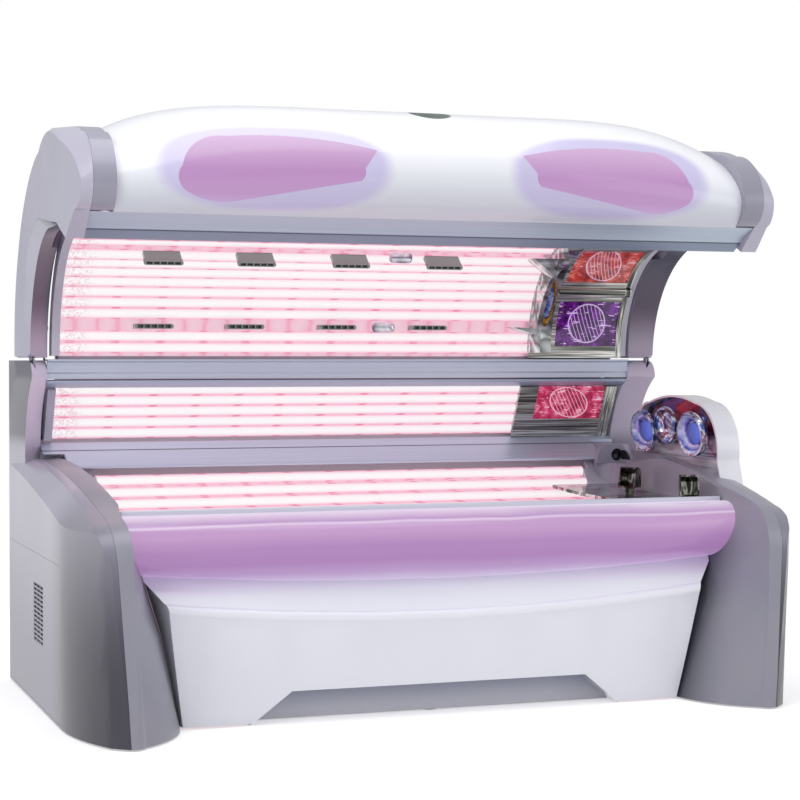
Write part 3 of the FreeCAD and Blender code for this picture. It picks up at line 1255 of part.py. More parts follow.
def gas_cylinders():
    along, length = gas_direction()
    foot = V(GAS_X, GAS_FOOT[0], GAS_FOOT[1])
    body = disc(foot + along * 8.0, along, GAS_TUBE_R, GAS_TUBE_LENGTH)
    bore = disc(foot + along * 30.0, along, GAS_ROD_R + TURN_FIT, 2.0 * GAS_TUBE_LENGTH)
    eye = rod_x(GAS_FOOT[0], GAS_FOOT[1], GAS_EYE_R, GAS_X - 7.0, GAS_X + 7.0)
    hole = rod_x(GAS_FOOT[0], GAS_FOOT[1], GAS_PIN_R + TURN_FIT, GAS_X - 30.0, GAS_X + 30.0)
    one = body.fuse(eye).cut(bore).cut(hole).removeSplitter()
    return [one, mirrored(one)]


def gas_rods():
    along, length = gas_direction()
    foot = V(GAS_X, GAS_FOOT[0], GAS_FOOT[1])
    start = GAS_TUBE_LENGTH - 100.0
    rod = disc(foot + along * start, along, GAS_ROD_R, length - start - GAS_LOOP_R - 2.0)
    ring = rod_x(GAS_EYE[0], GAS_EYE[1], GAS_LOOP_R + 5.0, GAS_X - 4.0, GAS_X + 4.0).cut(
        rod_x(GAS_EYE[0], GAS_EYE[1], GAS_LOOP_R, GAS_X - 30.0, GAS_X + 30.0))
    one = rod.fuse(ring).removeSplitter()
    return [one, mirrored(one)]


def gas_mounts():
    """Foot pins of the gas springs, on cheeks welded to the rear posts."""
    y, z = GAS_FOOT
    post_back = FRAME_REAR + 0.5 * TUBE
    pin = rod_x(y, z, GAS_PIN_R, GAS_X - 10.0, GAS_CHEEK_X[1])
    cheek = block(GAS_CHEEK_X, (post_back, y + 16.0), (z - 24.0, z + 24.0))
    lug = block((GAS_CHEEK_X[0], POST_X), (post_back, post_back + 6.0), (z - 24.0, z + 24.0))
    one = cheek.fuse([lug, pin]).removeSplitter()
    return [one, mirrored(one)]


# ------------------------------------------------------------------ write the nodes
os.makedirs("parts", exist_ok=True)

casing_form = casing_solid(0.0, True)
for side, head_end in (("right", True), ("left", False)):
    outer, cheek = casing_parts(head_end)
    save(f"end_casing_{side}", outer if head_end else mirrored(outer))
    save(f"inner_cheek_{side}", cheek if head_end else mirrored(cheek))
save("service_panels", [service_panel(), mirrored(service_panel())])
save("side_grilles", [side_grille(), mirrored(side_grille())])
save("base_frame", base_frame() + hinge_plates() + gas_mounts())
save("levelling_feet", levelling_feet())
save("light_band", light_band())
save("band_lamp", band_lamp())
save("front_fascia", front_fascia())
save("kick_recess_panel", kick_recess_panel())
save("bench_front_rail", bench_front_rail())
save("bench_acrylic", bench_acrylic())
save("base_lamps", lamp_row(bench_lamp_places(), -BENCH_LAMP_HALF, BENCH_LAMP_HALF)
     + lamp_row(side_lamp_places(), LAMP_LEFT_X, LAMP_RIGHT_X))
save("lamp_holder_strips", bench_end_plates() + side_holders())
save("base_reflectors", [base_reflector(), side_reflector()])
save("rail_lower", rail_lower())
save("rail_upper_fixed", rail_upper_fixed())
save("side_acrylic", side_acrylic())
save("rear_panel", rear_panel())
save("shoulder_frame", shoulder_frame())
save("shoulder_filter", shoulder_filter())
save("shoulder_burner", shoulder_burner())
save("head_tray", head_tray())
for name, place in zip(("rear", "front"), TRAY_NOZZLES):
    save(f"tray_nozzle_{name}", tray_nozzle(*place))
save("pod_shell", pod_shell(casing_form))
save("pod_liner", pod_liner(casing_form))
for name, place in zip(("rear", "middle", "front"), POD_NOZZLES):
    save(f"pod_nozzle_{name}", pod_nozzle(*place))
save("pod_lens_rear", pod_lens(*POD_NOZZLES[0]))
save("pod_lens_front", pod_lens(*POD_NOZZLES[2]))
save("fan_housing", fan_housing())
save("fan_rotor", fan_rotor())
save("ballast_units", ballast_units())
save("corner_cover", corner_cover(casing_form))

shell, windows = canopy_shell_parts()
save("canopy_shell", shell)
save("canopy_windows", windows)
save("top_grille", top_grille())
arm = canopy_arm()
save("canopy_arm_right", arm)
save("canopy_arm_left", mirrored(arm))
save("cap_rings", canopy_rings())
save("canopy_front_profile", canopy_front_profile())
save("canopy_rear_rail", canopy_rear_rail())
save("canopy_acrylic", canopy_acrylic())
save("canopy_lamps", lamp_row(canopy_lamp_places(), LAMP_LEFT_X, LAMP_RIGHT_X))
save("canopy_reflector", canopy_reflector())
save("canopy_end_strips", canopy_end_strips())
save("canopy_frame", canopy_frame())
save("air_nozzles", air_nozzles())
save("spray_nozzles", spray_nozzles())
save("facial_housing", facial_housing())
save("violet_filter", facial_glass(*FACIAL_ANGLES[:2]))
save("red_filter", facial_glass(*FACIAL_ANGLES[2:]))
save("facial_burners", facial_burners())
save("facial_rib", facial_rib())
save("gas_cylinders", gas_cylinders())
save("gas_rods", gas_rods())
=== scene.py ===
import math

import bmesh
import bpy
from mathutils import Matrix, Vector


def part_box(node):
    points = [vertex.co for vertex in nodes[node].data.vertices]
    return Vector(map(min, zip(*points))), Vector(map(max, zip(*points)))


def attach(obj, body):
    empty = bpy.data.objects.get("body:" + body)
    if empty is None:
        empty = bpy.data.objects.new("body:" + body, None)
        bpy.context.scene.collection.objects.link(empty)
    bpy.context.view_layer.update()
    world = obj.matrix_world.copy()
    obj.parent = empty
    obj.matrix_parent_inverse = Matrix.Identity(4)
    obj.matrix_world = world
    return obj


# Clamshell tanning bed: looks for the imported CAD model. Metres; +X to the head end,
# -Y towards the user, +Z up, origin on the floor under the middle of the bed.
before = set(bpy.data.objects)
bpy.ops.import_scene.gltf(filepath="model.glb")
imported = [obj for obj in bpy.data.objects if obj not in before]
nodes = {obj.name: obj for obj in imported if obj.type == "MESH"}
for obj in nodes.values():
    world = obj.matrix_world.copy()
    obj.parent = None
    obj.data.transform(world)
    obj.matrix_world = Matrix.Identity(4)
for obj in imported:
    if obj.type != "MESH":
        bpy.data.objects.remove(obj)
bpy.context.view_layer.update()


# ---------------------------------------------------------------- end casings
# Vacuum-formed ABS shells with satin silver-lavender lacquer. Painted shade darkens the round
# noses towards the front and the floor, and the lower sides; painted light brightens the towers
# above 0.8 m, and painted shade darkens their outward faces. Elsewhere the sides stay light.

def srgb(code):
    """Linear colour with alpha 1 from a hex sRGB code."""
    parts = [int(code[i:i + 2], 16) / 255.0 for i in (0, 2, 4)]
    return [c / 12.92 if c <= 0.04045 else ((c + 0.055) / 1.055) ** 2.4 for c in parts] + [1.0]


def add_node(tree, kind, *sources, stops=(), **values):
    """Add a shader node. Names give its settings and sockets, sources fill its open sockets
    in order, and stops are a ramp's (position, hex colour) pairs. What goes into a socket is
    a node, another socket, a hex colour or a number."""
    node = tree.nodes.new("ShaderNode" + kind)
    fed = []
    for name, value in values.items():
        if hasattr(node, name) and name not in node.inputs:
            setattr(node, name, value)
        else:
            fed.append((node.inputs[name.replace("_", " ")], value))
    fed += zip([socket for socket in node.inputs if socket.enabled], sources)
    for socket, value in fed:
        if isinstance(value, bpy.types.Node):
            value = next(out for out in value.outputs if out.enabled)
        if isinstance(value, bpy.types.NodeSocket):
            tree.links.new(value, socket)
        else:
            socket.default_value = srgb(value) if isinstance(value, str) else value
    elements = node.color_ramp.elements if stops else []
    while len(elements) < len(stops):
        elements.new(0.5)
    for element, (position, code) in zip(elements, stops):
        element.position = position
    for element, (position, code) in zip(elements, stops):
        element.color = srgb(code)
    return node


def new_material(name):
    """Empty node material; returns (material, tree, output, object coordinates)."""
    material = bpy.data.materials.new(name)
    material.use_nodes = True
    tree = material.node_tree
    tree.nodes.clear()
    place = add_node(tree, "TexCoord").outputs["Object"]
    return material, tree, add_node(tree, "OutputMaterial"), place


# Settings of a MapRange that eases from 0 at its first limit to 1 at its second.
smooth = {"interpolation_type": "SMOOTHSTEP"}


def lacquer(tree, output, place, colour, roughness, metallic=0.0, coat=0.0, bump=0.02, grain=900.0,
            stretch=(1.0, 1.0, 1.0)):
    """Painted or metal surface with a fine grain over a given colour."""
    spread = add_node(tree, "Mapping", Vector=place, Scale=stretch)
    fine = add_node(tree, "TexNoise", Vector=spread, Scale=grain)
    relief = add_node(tree, "Bump", Height=fine, Strength=bump, Distance=0.001)
    shader = add_node(tree, "BsdfPrincipled", Base_Color=colour, Normal=relief,
                      Roughness=roughness, Metallic=metallic, Coat_Weight=coat, Coat_Roughness=0.1)
    tree.links.new(shader.outputs["BSDF"], output.inputs["Surface"])


def drift(tree, place, light, dark, scale):
    """Slow cloudy change between two close colours."""
    slow = add_node(tree, "TexNoise", Vector=place, Scale=scale, Detail=3.0)
    return add_node(tree, "ValToRGB", slow, stops=[(0.35, dark), (0.65, light)])


def dress(name, material):
    """Give a CAD node its material, smooth faces and crisp edges."""
    thing = nodes[name]
    if not thing.data.materials:
        thing.data.materials.append(material)
    for slot in thing.material_slots:
        slot.material = material
    thing.data.polygons.foreach_set("use_smooth", [True] * len(thing.data.polygons))
    weld = thing.modifiers.new("weld", "WELD")
    weld.merge_threshold = 0.00002
    split = thing.modifiers.new("crisp edges", "EDGE_SPLIT")
    split.split_angle = math.radians(32.0)


material, tree, output, place = new_material("casing_lavender_lacquer")
parts = add_node(tree, "SeparateXYZ", Vector=place)
# Painted shade: the noses darken towards the front, and more towards the floor.
nose = add_node(tree, "MapRange", parts.outputs["Y"], -0.1, -0.42, **smooth)
low = add_node(tree, "MapRange", parts.outputs["Z"], 0.85, 0.2, **smooth)
low = add_node(tree, "Math", low, 0.62, 0.25, operation="MULTIPLY_ADD")
painted_nose_shade = add_node(tree, "Math", nose, low, operation="MULTIPLY")
# Painted shade: the sides darken towards the floor.
foot = add_node(tree, "MapRange", parts.outputs["Z"], 0.72, 0.1, **smooth)
side = add_node(tree, "Mix", foot, drift(tree, place, "bab7c6", "b2afbe", 1.6), "7d798e",
                data_type="RGBA")
# Painted light: everything above 0.8 m is brightened towards a pale lavender.
tower = add_node(tree, "MapRange", parts.outputs["Z"], 0.8, 0.88, **smooth)
side = add_node(tree, "Mix", tower, side, "dfe2f0", data_type="RGBA")
# Painted shade: faces of the towers that look outward are darkened.
normal = add_node(tree, "SeparateXYZ", add_node(tree, "NewGeometry").outputs["True Normal"])
end_sign = add_node(tree, "Math", parts.outputs["X"], operation="SIGN")
outward = add_node(tree, "Math", normal.outputs["X"], end_sign, operation="MULTIPLY")
outward = add_node(tree, "MapRange", outward, 0.25, 0.6, **smooth)
outer_face = add_node(tree, "Math", tower, outward, operation="MULTIPLY")
side = add_node(tree, "Mix", outer_face, side, "625f6c", data_type="RGBA")
colour = add_node(tree, "Mix", painted_nose_shade, side, "23222e", data_type="RGBA")
lacquer(tree, output, place, colour, 0.36, metallic=0.1, coat=0.3)
for name in ("end_casing_right", "end_casing_left", "service_panels"):
    dress(name, material)

# ---------------------------------------------------------------- inner cheeks
# Separate mouldings in the same lacquer, deeper in tone towards the fascia, where
# little light reaches them.
material, tree, output, place = new_material("cheek_grey_lacquer")
parts = add_node(tree, "SeparateXYZ", Vector=place)
deep = add_node(tree, "MapRange", parts.outputs["Y"], -0.62, -0.4, **smooth)
under = add_node(tree, "MapRange", parts.outputs["Z"], 0.66, 0.45, **smooth)
shade = add_node(tree, "Math", deep, under, operation="MULTIPLY")
colour = add_node(tree, "Mix", shade, drift(tree, place, "98979f", "908f9e", 2.0), "3f414e",
                  data_type="RGBA")
lacquer(tree, output, place, colour, 0.38, metallic=0.1, coat=0.25)
for name in ("inner_cheek_right", "inner_cheek_left"):
    dress(name, material)

# ---------------------------------------------------------------- corner cover
# Moulded corner between lower rail and bench, with a dark recessed knob and its pale cap.
material, tree, output, place = new_material("corner_grey_lacquer")
colour = drift(tree, place, "b3b4c4", "9d9eb0", 5.0)
edge = 0.0005
for middle_x, middle_z, radius, tone in ((1.040, 0.772, 0.0235, "1c1c22"),
                                         (1.034, 0.766, 0.0073, "5d5d66")):
    local = add_node(tree, "VectorMath", place, (middle_x, 0.0, middle_z), operation="SUBTRACT")
    flat = add_node(tree, "VectorMath", local, (1.0, 0.0, 1.0), operation="MULTIPLY")
    away = add_node(tree, "VectorMath", flat, operation="LENGTH")
    inside = add_node(tree, "MapRange", away, radius + edge, radius - edge, **smooth)
    colour = add_node(tree, "Mix", inside, colour, tone, data_type="RGBA")
lacquer(tree, output, place, colour, 0.36, metallic=0.1, coat=0.3)
dress("corner_cover", material)

# ---------------------------------------------------------------- canopy arms and caps
# The canopy's end mouldings. Their outer sides are light, and the arch over the user
# lies in its own shade. The arch runs round the axis of the canopy's lamps.
tunnel_y, tunnel_z = 0.054, 1.150
material, tree, output, place = new_material("arm_lavender_lacquer")
parts = add_node(tree, "SeparateXYZ", Vector=place)
radial = add_node(tree, "VectorMath", place, (0.0, tunnel_y, tunnel_z), operation="SUBTRACT")
flat = add_node(tree, "VectorMath", radial, (0.0, 1.0, 1.0), operation="MULTIPLY")
outward = add_node(tree, "VectorMath", flat, operation="NORMALIZE")
normal = add_node(tree, "NewGeometry").outputs["True Normal"]
facing_in = add_node(tree, "VectorMath", outward, normal, operation="DOT_PRODUCT")
arch = add_node(tree, "MapRange", facing_in, -0.25, -0.7, **smooth)
height = add_node(tree, "MapRange", parts.outputs["Z"], 1.16, 1.34, **smooth)
shade = add_node(tree, "Math", arch, height, operation="MULTIPLY")
colour = add_node(tree, "Mix", shade, drift(tree, place, "c0bdcd", "b4b2c3", 1.4), "5b6370",
                  data_type="RGBA")
lacquer(tree, output, place, colour, 0.34, metallic=0.1, coat=0.35)
for name in ("canopy_arm_right", "canopy_arm_left"):
    dress(name, material)
material, tree, output, place = new_material("ring_grey_lacquer")
lacquer(tree, output, place, drift(tree, place, "9d9bab", "93919f", 1.4), 0.34, metallic=0.1,
        coat=0.35)
dress("cap_rings", material)

# ---------------------------------------------------------------- canopy cover
# High-gloss white cover. The light of the two windows spills onto the white plastic
# round them as a soft violet halo.
material, tree, output, place = new_material("cover_gloss_white")
parts = add_node(tree, "SeparateXYZ", Vector=place)
across = add_node(tree, "Math", parts.outputs["X"], operation="ABSOLUTE")
powers = []
for value, window_middle, window_half in ((across, 0.565, 0.345),
                                          (parts.outputs["Z"], 1.715, 0.125)):
    value = add_node(tree, "Math", value, -window_middle, operation="ADD")
    value = add_node(tree, "Math", value, window_half, operation="DIVIDE")
    value = add_node(tree, "Math", value, operation="ABSOLUTE")
    powers.append(add_node(tree, "Math", value, 2.6, operation="POWER"))
around = add_node(tree, "Math", add_node(tree, "Math", *powers, operation="ADD"), operation="SQRT")
halo = add_node(tree, "Math", add_node(tree, "MapRange", around, 1.16, 0.93, **smooth),
                add_node(tree, "MapRange", parts.outputs["Y"], -0.2, -0.3, **smooth),
                operation="MULTIPLY")
# Painted shade: the lower front of the cover greys towards the floor.
lower = add_node(tree, "Math", add_node(tree, "MapRange", parts.outputs["Z"], 1.78, 1.55, **smooth),
                 add_node(tree, "MapRange", parts.outputs["Y"], 0.0, -0.3, **smooth),
                 operation="MULTIPLY")
colour = add_node(tree, "Mix", lower, drift(tree, place, "f6f6fa", "f0f1f6", 1.2), "d3d6e0",
                  data_type="RGBA")
colour = add_node(tree, "Mix", halo, colour, "cdc6e6", data_type="RGBA")
lacquer(tree, output, place, colour, 0.2, coat=0.6, bump=0.01, grain=300.0)
dress("canopy_shell", material)

# ---------------------------------------------------------------- fascia and pod hood
# The same gloss white for the fascia and the pod hood, a tray behind the toe kick, pale at the
# floor with painted shade deepening to blue-grey under the fascia, and plain powder-coated sheet at
# the rear.
material, tree, output, place = new_material("fascia_gloss_white")
parts = add_node(tree, "SeparateXYZ", Vector=place)
# Painted light: the light band's violet glow is painted onto the fascia just below it.
high = add_node(tree, "MapRange", parts.outputs["Z"], 0.395, 0.46, **smooth)
front = add_node(tree, "MapRange", parts.outputs["Y"], -0.4, -0.46, **smooth)
spill = add_node(tree, "Math", high, front, operation="MULTIPLY")
colour = add_node(tree, "Mix", spill, drift(tree, place, "f2f3fa", "eeeff7", 1.2), "dfd3ee",
                  data_type="RGBA")
lacquer(tree, output, place, colour, 0.2, coat=0.6, bump=0.01, grain=300.0)
dress("front_fascia", material)
material, tree, output, place = new_material("pod_gloss_white")
lacquer(tree, output, place, drift(tree, place, "f2f2f6", "e4e5ec", 2.5), 0.16, coat=0.6, bump=0.01,
        grain=300.0)
dress("pod_shell", material)
material, tree, output, place = new_material("kick_pale_painted_shade")
parts = add_node(tree, "SeparateXYZ", Vector=place)
# Painted shade: the tray darkens to blue-grey towards the top, under the fascia.
height = add_node(tree, "MapRange", parts.outputs["Z"], 0.0, 0.13, **smooth)
colour = add_node(tree, "ValToRGB", height, stops=[(0.0, "dcdce4"), (1.0, "9094ac")])
lacquer(tree, output, place, colour, 0.3, coat=0.3)
dress("kick_recess_panel", material)
material, tree, output, place = new_material("panel_powder_white")
lacquer(tree, output, place, drift(tree, place, "d8d9de", "cfd0d6", 2.0), 0.45, bump=0.05)
dress("rear_panel", material)

# ---------------------------------------------------------------- aluminium profiles
# Extruded and brushed along their length, with a lavender anodised tint. The brushing
# shows as fine bright and dark lines.


def anodised(name, light, dark, bands):
    """Brushed aluminium with fine lines; bands are (low z, high z, hex) strips of another tone."""
    material, tree, output, place = new_material(name)
    spread = add_node(tree, "Mapping", Vector=place, Scale=(1.0, 220.0, 220.0))
    lines = add_node(tree, "TexNoise", Vector=spread, Scale=1.0, Detail=4.0)
    colour = add_node(tree, "ValToRGB", lines, stops=[(0.3, dark), (0.7, light)])
    height = add_node(tree, "SeparateXYZ", Vector=place).outputs["Z"]
    for low, high, code in bands:
        above = add_node(tree, "MapRange", height, low - 0.001, low + 0.001, **smooth)
        below = add_node(tree, "MapRange", height, high + 0.001, high - 0.001, **smooth)
        inside = add_node(tree, "Math", above, below, operation="MULTIPLY")
        colour = add_node(tree, "Mix", inside, colour, code, data_type="RGBA")
    lacquer(tree, output, place, colour, 0.36, metallic=0.35, bump=0.1, grain=60.0,
            stretch=(0.3, 30.0, 30.0))
    return material


dress("rail_lower", anodised("rail_brushed_lavender", "ccd6e8", "bfc9de",
                             [(0.8105, 0.8135, "5c5b70")]))
upper_rail = anodised("upper_rail_brushed_lavender", "c8d0e0", "bcc5d7",
                      [(1.0, 1.0575, "adbacf"), (1.0575, 1.0635, "3e3d4c")])
dress("rail_upper_fixed", upper_rail)
dress("canopy_rear_rail", upper_rail)
dress("canopy_front_profile", anodised("front_profile_brushed", "bfccd9", "b4c1d0",
                                       [(1.40, 1.524, "8b98ab"), (1.5225, 1.5265, "5d6276")]))
dress("bench_front_rail", anodised("bench_rail_brushed", "dcdce8", "cfd0df", []))

# ---------------------------------------------------------------- lamps
# Lit low-pressure tubes: a white line along the middle of each and a pink fall-off
# towards its sides, with fine ticks and a frosted last part at the foot end.


def glow(name, core, rim, strength, blend=0.35):
    """Lit surface whose colour shifts from core to rim with the viewing facing."""
    material, tree, output, place = new_material(name)
    facing = add_node(tree, "LayerWeight", Blend=blend)
    colour = add_node(tree, "ValToRGB", facing.outputs["Facing"], stops=[(0.12, core), (0.8, rim)])
    shader = add_node(tree, "BsdfPrincipled", Emission_Color=colour, Base_Color="2a2226",
                      Roughness=0.4, Emission_Strength=strength)
    tree.links.new(shader.outputs["BSDF"], output.inputs["Surface"])
    return material


material, tree, output, place = new_material("tube_lit_pink")
facing = add_node(tree, "LayerWeight", Blend=0.5).outputs["Facing"]
colour = add_node(tree, "ValToRGB", facing,
                  stops=[(0.04, "fffcfd"), (0.2, "fdeef4"), (0.42, "f8cedd"), (0.7, "f09cba")])
parts = add_node(tree, "SeparateXYZ", Vector=place)
beat = add_node(tree, "TexWave", Vector=place, Scale=2.0, Distortion=0.6).outputs["Fac"]
tick = add_node(tree, "Math", add_node(tree, "MapRange", beat, 0.86, 0.97, **smooth),
                add_node(tree, "MapRange", facing, 0.35, 0.6, **smooth), operation="MULTIPLY")
colour = add_node(tree, "Mix", tick, colour, "e35f8c", data_type="RGBA")
speckle = add_node(tree, "TexNoise", Vector=place, Scale=130.0, Detail=3.0).outputs["Fac"]
foot_end = add_node(tree, "MapRange", parts.outputs["X"], -0.94, -0.99, **smooth)
grains = add_node(tree, "MapRange", speckle, 0.48, 0.58, **smooth)
frosted = add_node(tree, "Math", foot_end, grains, operation="MULTIPLY")
frosted = add_node(tree, "Math", frosted, 0.4, operation="MULTIPLY")
colour = add_node(tree, "Mix", frosted, colour, "d98fa8", data_type="RGBA")
shader = add_node(tree, "BsdfPrincipled", Emission_Color=colour, Base_Color="2a2226",
                  Roughness=0.4, Emission_Strength=0.97)
tree.links.new(shader.outputs["BSDF"], output.inputs["Surface"])
for name in ("base_lamps", "canopy_lamps"):
    dress(name, material)
dress("band_lamp", glow("led_strip_lit", "fff0fa", "f0c0e8", 0.6))

# ---------------------------------------------------------------- reflectors
# Bright rolled sheet behind the tubes. It throws their light back pink, with small
# darker ticks where its pressed ribs repeat every 78 mm.
material, tree, output, place = new_material("reflector_lit_pink")
ticks = add_node(tree, "TexWave", Vector=place, Scale=4.1, Distortion=1.5, Detail=2.0,
                 Detail_Scale=3.0)
colour = add_node(tree, "ValToRGB", ticks.outputs["Fac"],
                  stops=[(0.0, "f0a2bc"), (0.15, "ecc4d4"), (1.0, "efcfdd")])
shader = add_node(tree, "BsdfPrincipled", Emission_Color=colour, Base_Color="80505e",
                  Roughness=0.4, Emission_Strength=0.8)
tree.links.new(shader.outputs["BSDF"], output.inputs["Surface"])
for name in ("base_reflectors", "canopy_reflector"):
    dress(name, material)

# ---------------------------------------------------------------- lamp holders
# Pale moulded strips that carry the tubes' sockets.
material, tree, output, place = new_material("holder_pale_plastic")
lacquer(tree, output, place, drift(tree, place, "c9c8d4", "bbbac8", 9.0), 0.4)
for name in ("lamp_holder_strips", "canopy_end_strips"):
    dress(name, material)


# ---------------------------------------------------------------- clear sheets
# Cast acrylic over the lamps: clear, with a faint streaky sheen.
material, tree, output, place = new_material("clear_cast_acrylic")
streak = add_node(tree, "TexNoise", Vector=place, Scale=12.0, Detail=4.0)
relief = add_node(tree, "Bump", Height=streak.outputs["Fac"], Strength=0.05, Distance=0.001)
shader = add_node(tree, "BsdfPrincipled", Normal=relief,
                  Base_Color="ffffff", Roughness=0.06, Alpha=0.06)
tree.links.new(shader.outputs["BSDF"], output.inputs["Surface"])
material.surface_render_method = "BLENDED"
for name in ("bench_acrylic", "side_acrylic", "canopy_acrylic"):
    dress(name, material)


# ---------------------------------------------------------------- bright reflector metal
# Polished and anodised reflector aluminium of the tanners' frames, in long light and dark
# strips as such curved metal shows the room.


def polished(name, stops, scale, stretch, roughness=0.12):
    """Mirror-bright metal whose tone runs through bands."""
    material, tree, output, place = new_material(name)
    spread = add_node(tree, "Mapping", Vector=place, Scale=stretch)
    bands = add_node(tree, "TexNoise", Vector=spread, Scale=scale, Detail=2.0,
                     Distortion=0.4)
    colour = add_node(tree, "ValToRGB", bands, stops=stops)
    lacquer(tree, output, place, colour, roughness, metallic=0.85, bump=0.004)
    return material


material, tree, output, place = new_material("frame_polished_aluminium")
parts = add_node(tree, "SeparateXYZ", Vector=place)
tones = [(0.32, "2b2b27"), (0.42, "7e7f78"), (0.5, "e8e9e4"), (0.56, "5c5d57"), (0.64, "b9bab3"),
         (0.72, "f6f6f3")]
strips = []
for stretch in ((1.2, 60.0, 60.0), (110.0, 4.0, 4.0)):
    spread = add_node(tree, "Mapping", Vector=place, Scale=stretch)
    strip = add_node(tree, "TexNoise", Vector=spread, Scale=1.0, Detail=3.0)
    strips.append(add_node(tree, "ValToRGB", strip, stops=tones))
beside = add_node(tree, "MapRange", parts.outputs["X"], 1.036, 1.042, **smooth)
colour = add_node(tree, "Mix", beside, *strips, data_type="RGBA")
lacquer(tree, output, place, colour, 0.16, metallic=0.6, coat=0.4, bump=0.004)
for name in ("shoulder_frame", "facial_housing"):
    dress(name, material)
dress("facial_rib", polished("rib_chrome", [(0.3, "26262a"), (0.42, "8a8b8e"), (0.5, "f2f3f3"),
                                            (0.58, "6b6c70"), (0.7, "c9cacc")],
                             9.0, (0.5, 1.0, 1.0)))
bright = polished("bright_chrome", [(0.3, "5d5f68"), (0.45, "c3c6cf"), (0.6, "eceef2"),
                                    (0.72, "989aa5")], 16.0, (1.0, 1.0, 1.0), 0.08)
for name in ("spray_nozzles", "shoulder_burner", "facial_burners", "gas_rods"):
    dress(name, bright)

# ---------------------------------------------------------------- head tray and its outlets
# Vacuum-metallised deck and air outlets, darker than the frames because they mirror the
# shade under the canopy.
# Painted reflections: dark and bright bands of tone stand for the shade and room they mirror.
deck = polished("deck_chrome_painted_reflections", [(0.3, "2a2a26"), (0.44, "83827b"), (0.52, "f1f1ee"),
                                     (0.6, "55544e"), (0.72, "b5b4ae")], 11.0, (0.6, 1.6, 1.0), 0.1)
dress("head_tray", deck)
outlet = polished("outlet_chrome_painted_reflections", [(0.3, "0f0f0e"), (0.46, "37362f"), (0.56, "b6b5ab"),
                                         (0.62, "22221f"), (0.75, "75746c")],
                  26.0, (1.0, 1.0, 0.6), 0.14)
for name in ("tray_nozzle_rear", "tray_nozzle_front"):
    dress(name, outlet)

# ---------------------------------------------------------------- rib pilot lamp
# An oval pilot lamp is set into the rib: a gold-lacquered bezel round a blue lens, both
# bent to the rib's curve.


def spun(outline, steps=72):
    """Bmesh of a closed loop of (radius, height) points turned round Z."""
    mesh = bmesh.new()
    verts = [mesh.verts.new((radius, 0.0, height)) for radius, height in outline]
    edges = [mesh.edges.new((a, b)) for a, b in zip(verts, verts[1:] + verts[:1])]
    bmesh.ops.spin(mesh, geom=verts + edges, cent=(0.0, 0.0, 0.0), axis=(0.0, 0.0, 1.0),
                   angle=2.0 * math.pi, steps=steps, use_merge=True)
    bmesh.ops.remove_doubles(mesh, verts=mesh.verts, dist=0.00001)
    bmesh.ops.recalc_face_normals(mesh, faces=mesh.faces)
    return mesh


def piece(name, mesh):
    """New object at the origin from a bmesh, smooth with crisp edges."""
    data = bpy.data.meshes.new(name)
    mesh.to_mesh(data)
    mesh.free()
    data.polygons.foreach_set("use_smooth", [True] * len(data.polygons))
    thing = bpy.data.objects.new(name, data)
    bpy.context.collection.objects.link(thing)
    thing.modifiers.new("crisp edges", "EDGE_SPLIT").split_angle = math.radians(35.0)
    return thing


rib_radius, rib_turn, rib_lamp_x = 0.383, math.radians(30.0), 0.736
lamp_half_width, lamp_half_length = 0.025, 0.096


def bent_on_rib(mesh):
    """Scale a flat round form to the lamp's oval and bend it onto the rib's inner face."""
    for vert in mesh.verts:
        across, along = vert.co.x * lamp_half_width, vert.co.y * lamp_half_length
        turn, reach = rib_turn + along / rib_radius, rib_radius - vert.co.z
        vert.co = (rib_lamp_x + across, tunnel_y + reach * math.cos(turn),
                   tunnel_z + reach * math.sin(turn))
    bmesh.ops.recalc_face_normals(mesh, faces=mesh.faces)
    return mesh


bezel_section = [(0.66, 0.0), (1.0, 0.0), (0.97, 0.006), (0.86, 0.009), (0.72, 0.006)]
bezel = piece("rib_lamp_bezel", bent_on_rib(spun(bezel_section, 96)))
material, tree, output, place = new_material("bezel_amber_gold")
cells = add_node(tree, "TexVoronoi", Vector=place, Scale=210.0)
colour = add_node(tree, "ValToRGB", cells, stops=[(0.1, "e0a53a"), (0.6, "6e4a12")])
lacquer(tree, output, place, colour, 0.3, metallic=0.6)
bezel.data.materials.append(material)
lens_section = [(0.0, 0.0), (0.68, 0.0), (0.66, 0.004), (0.4, 0.0055), (0.0, 0.006)]
lens = piece("rib_lamp_lens", bent_on_rib(spun(lens_section, 96)))
material, tree, output, place = new_material("lens_blue_glass")
# Painted highlights and reflections: the lens's blue cloud runs to pale and dark grey patches.
cloud = add_node(tree, "TexNoise", Vector=place, Scale=38.0, Detail=4.0)
colour = add_node(tree, "ValToRGB", cloud,
                  stops=[(0.35, "1c2450"), (0.5, "5566b8"), (0.62, "a9b4d8"), (0.7, "3a3a46")])
lacquer(tree, output, place, colour, 0.08, coat=0.6, bump=0.004)
lens.data.materials.append(material)
for part in (bezel, lens):
    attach(part, "canopy")

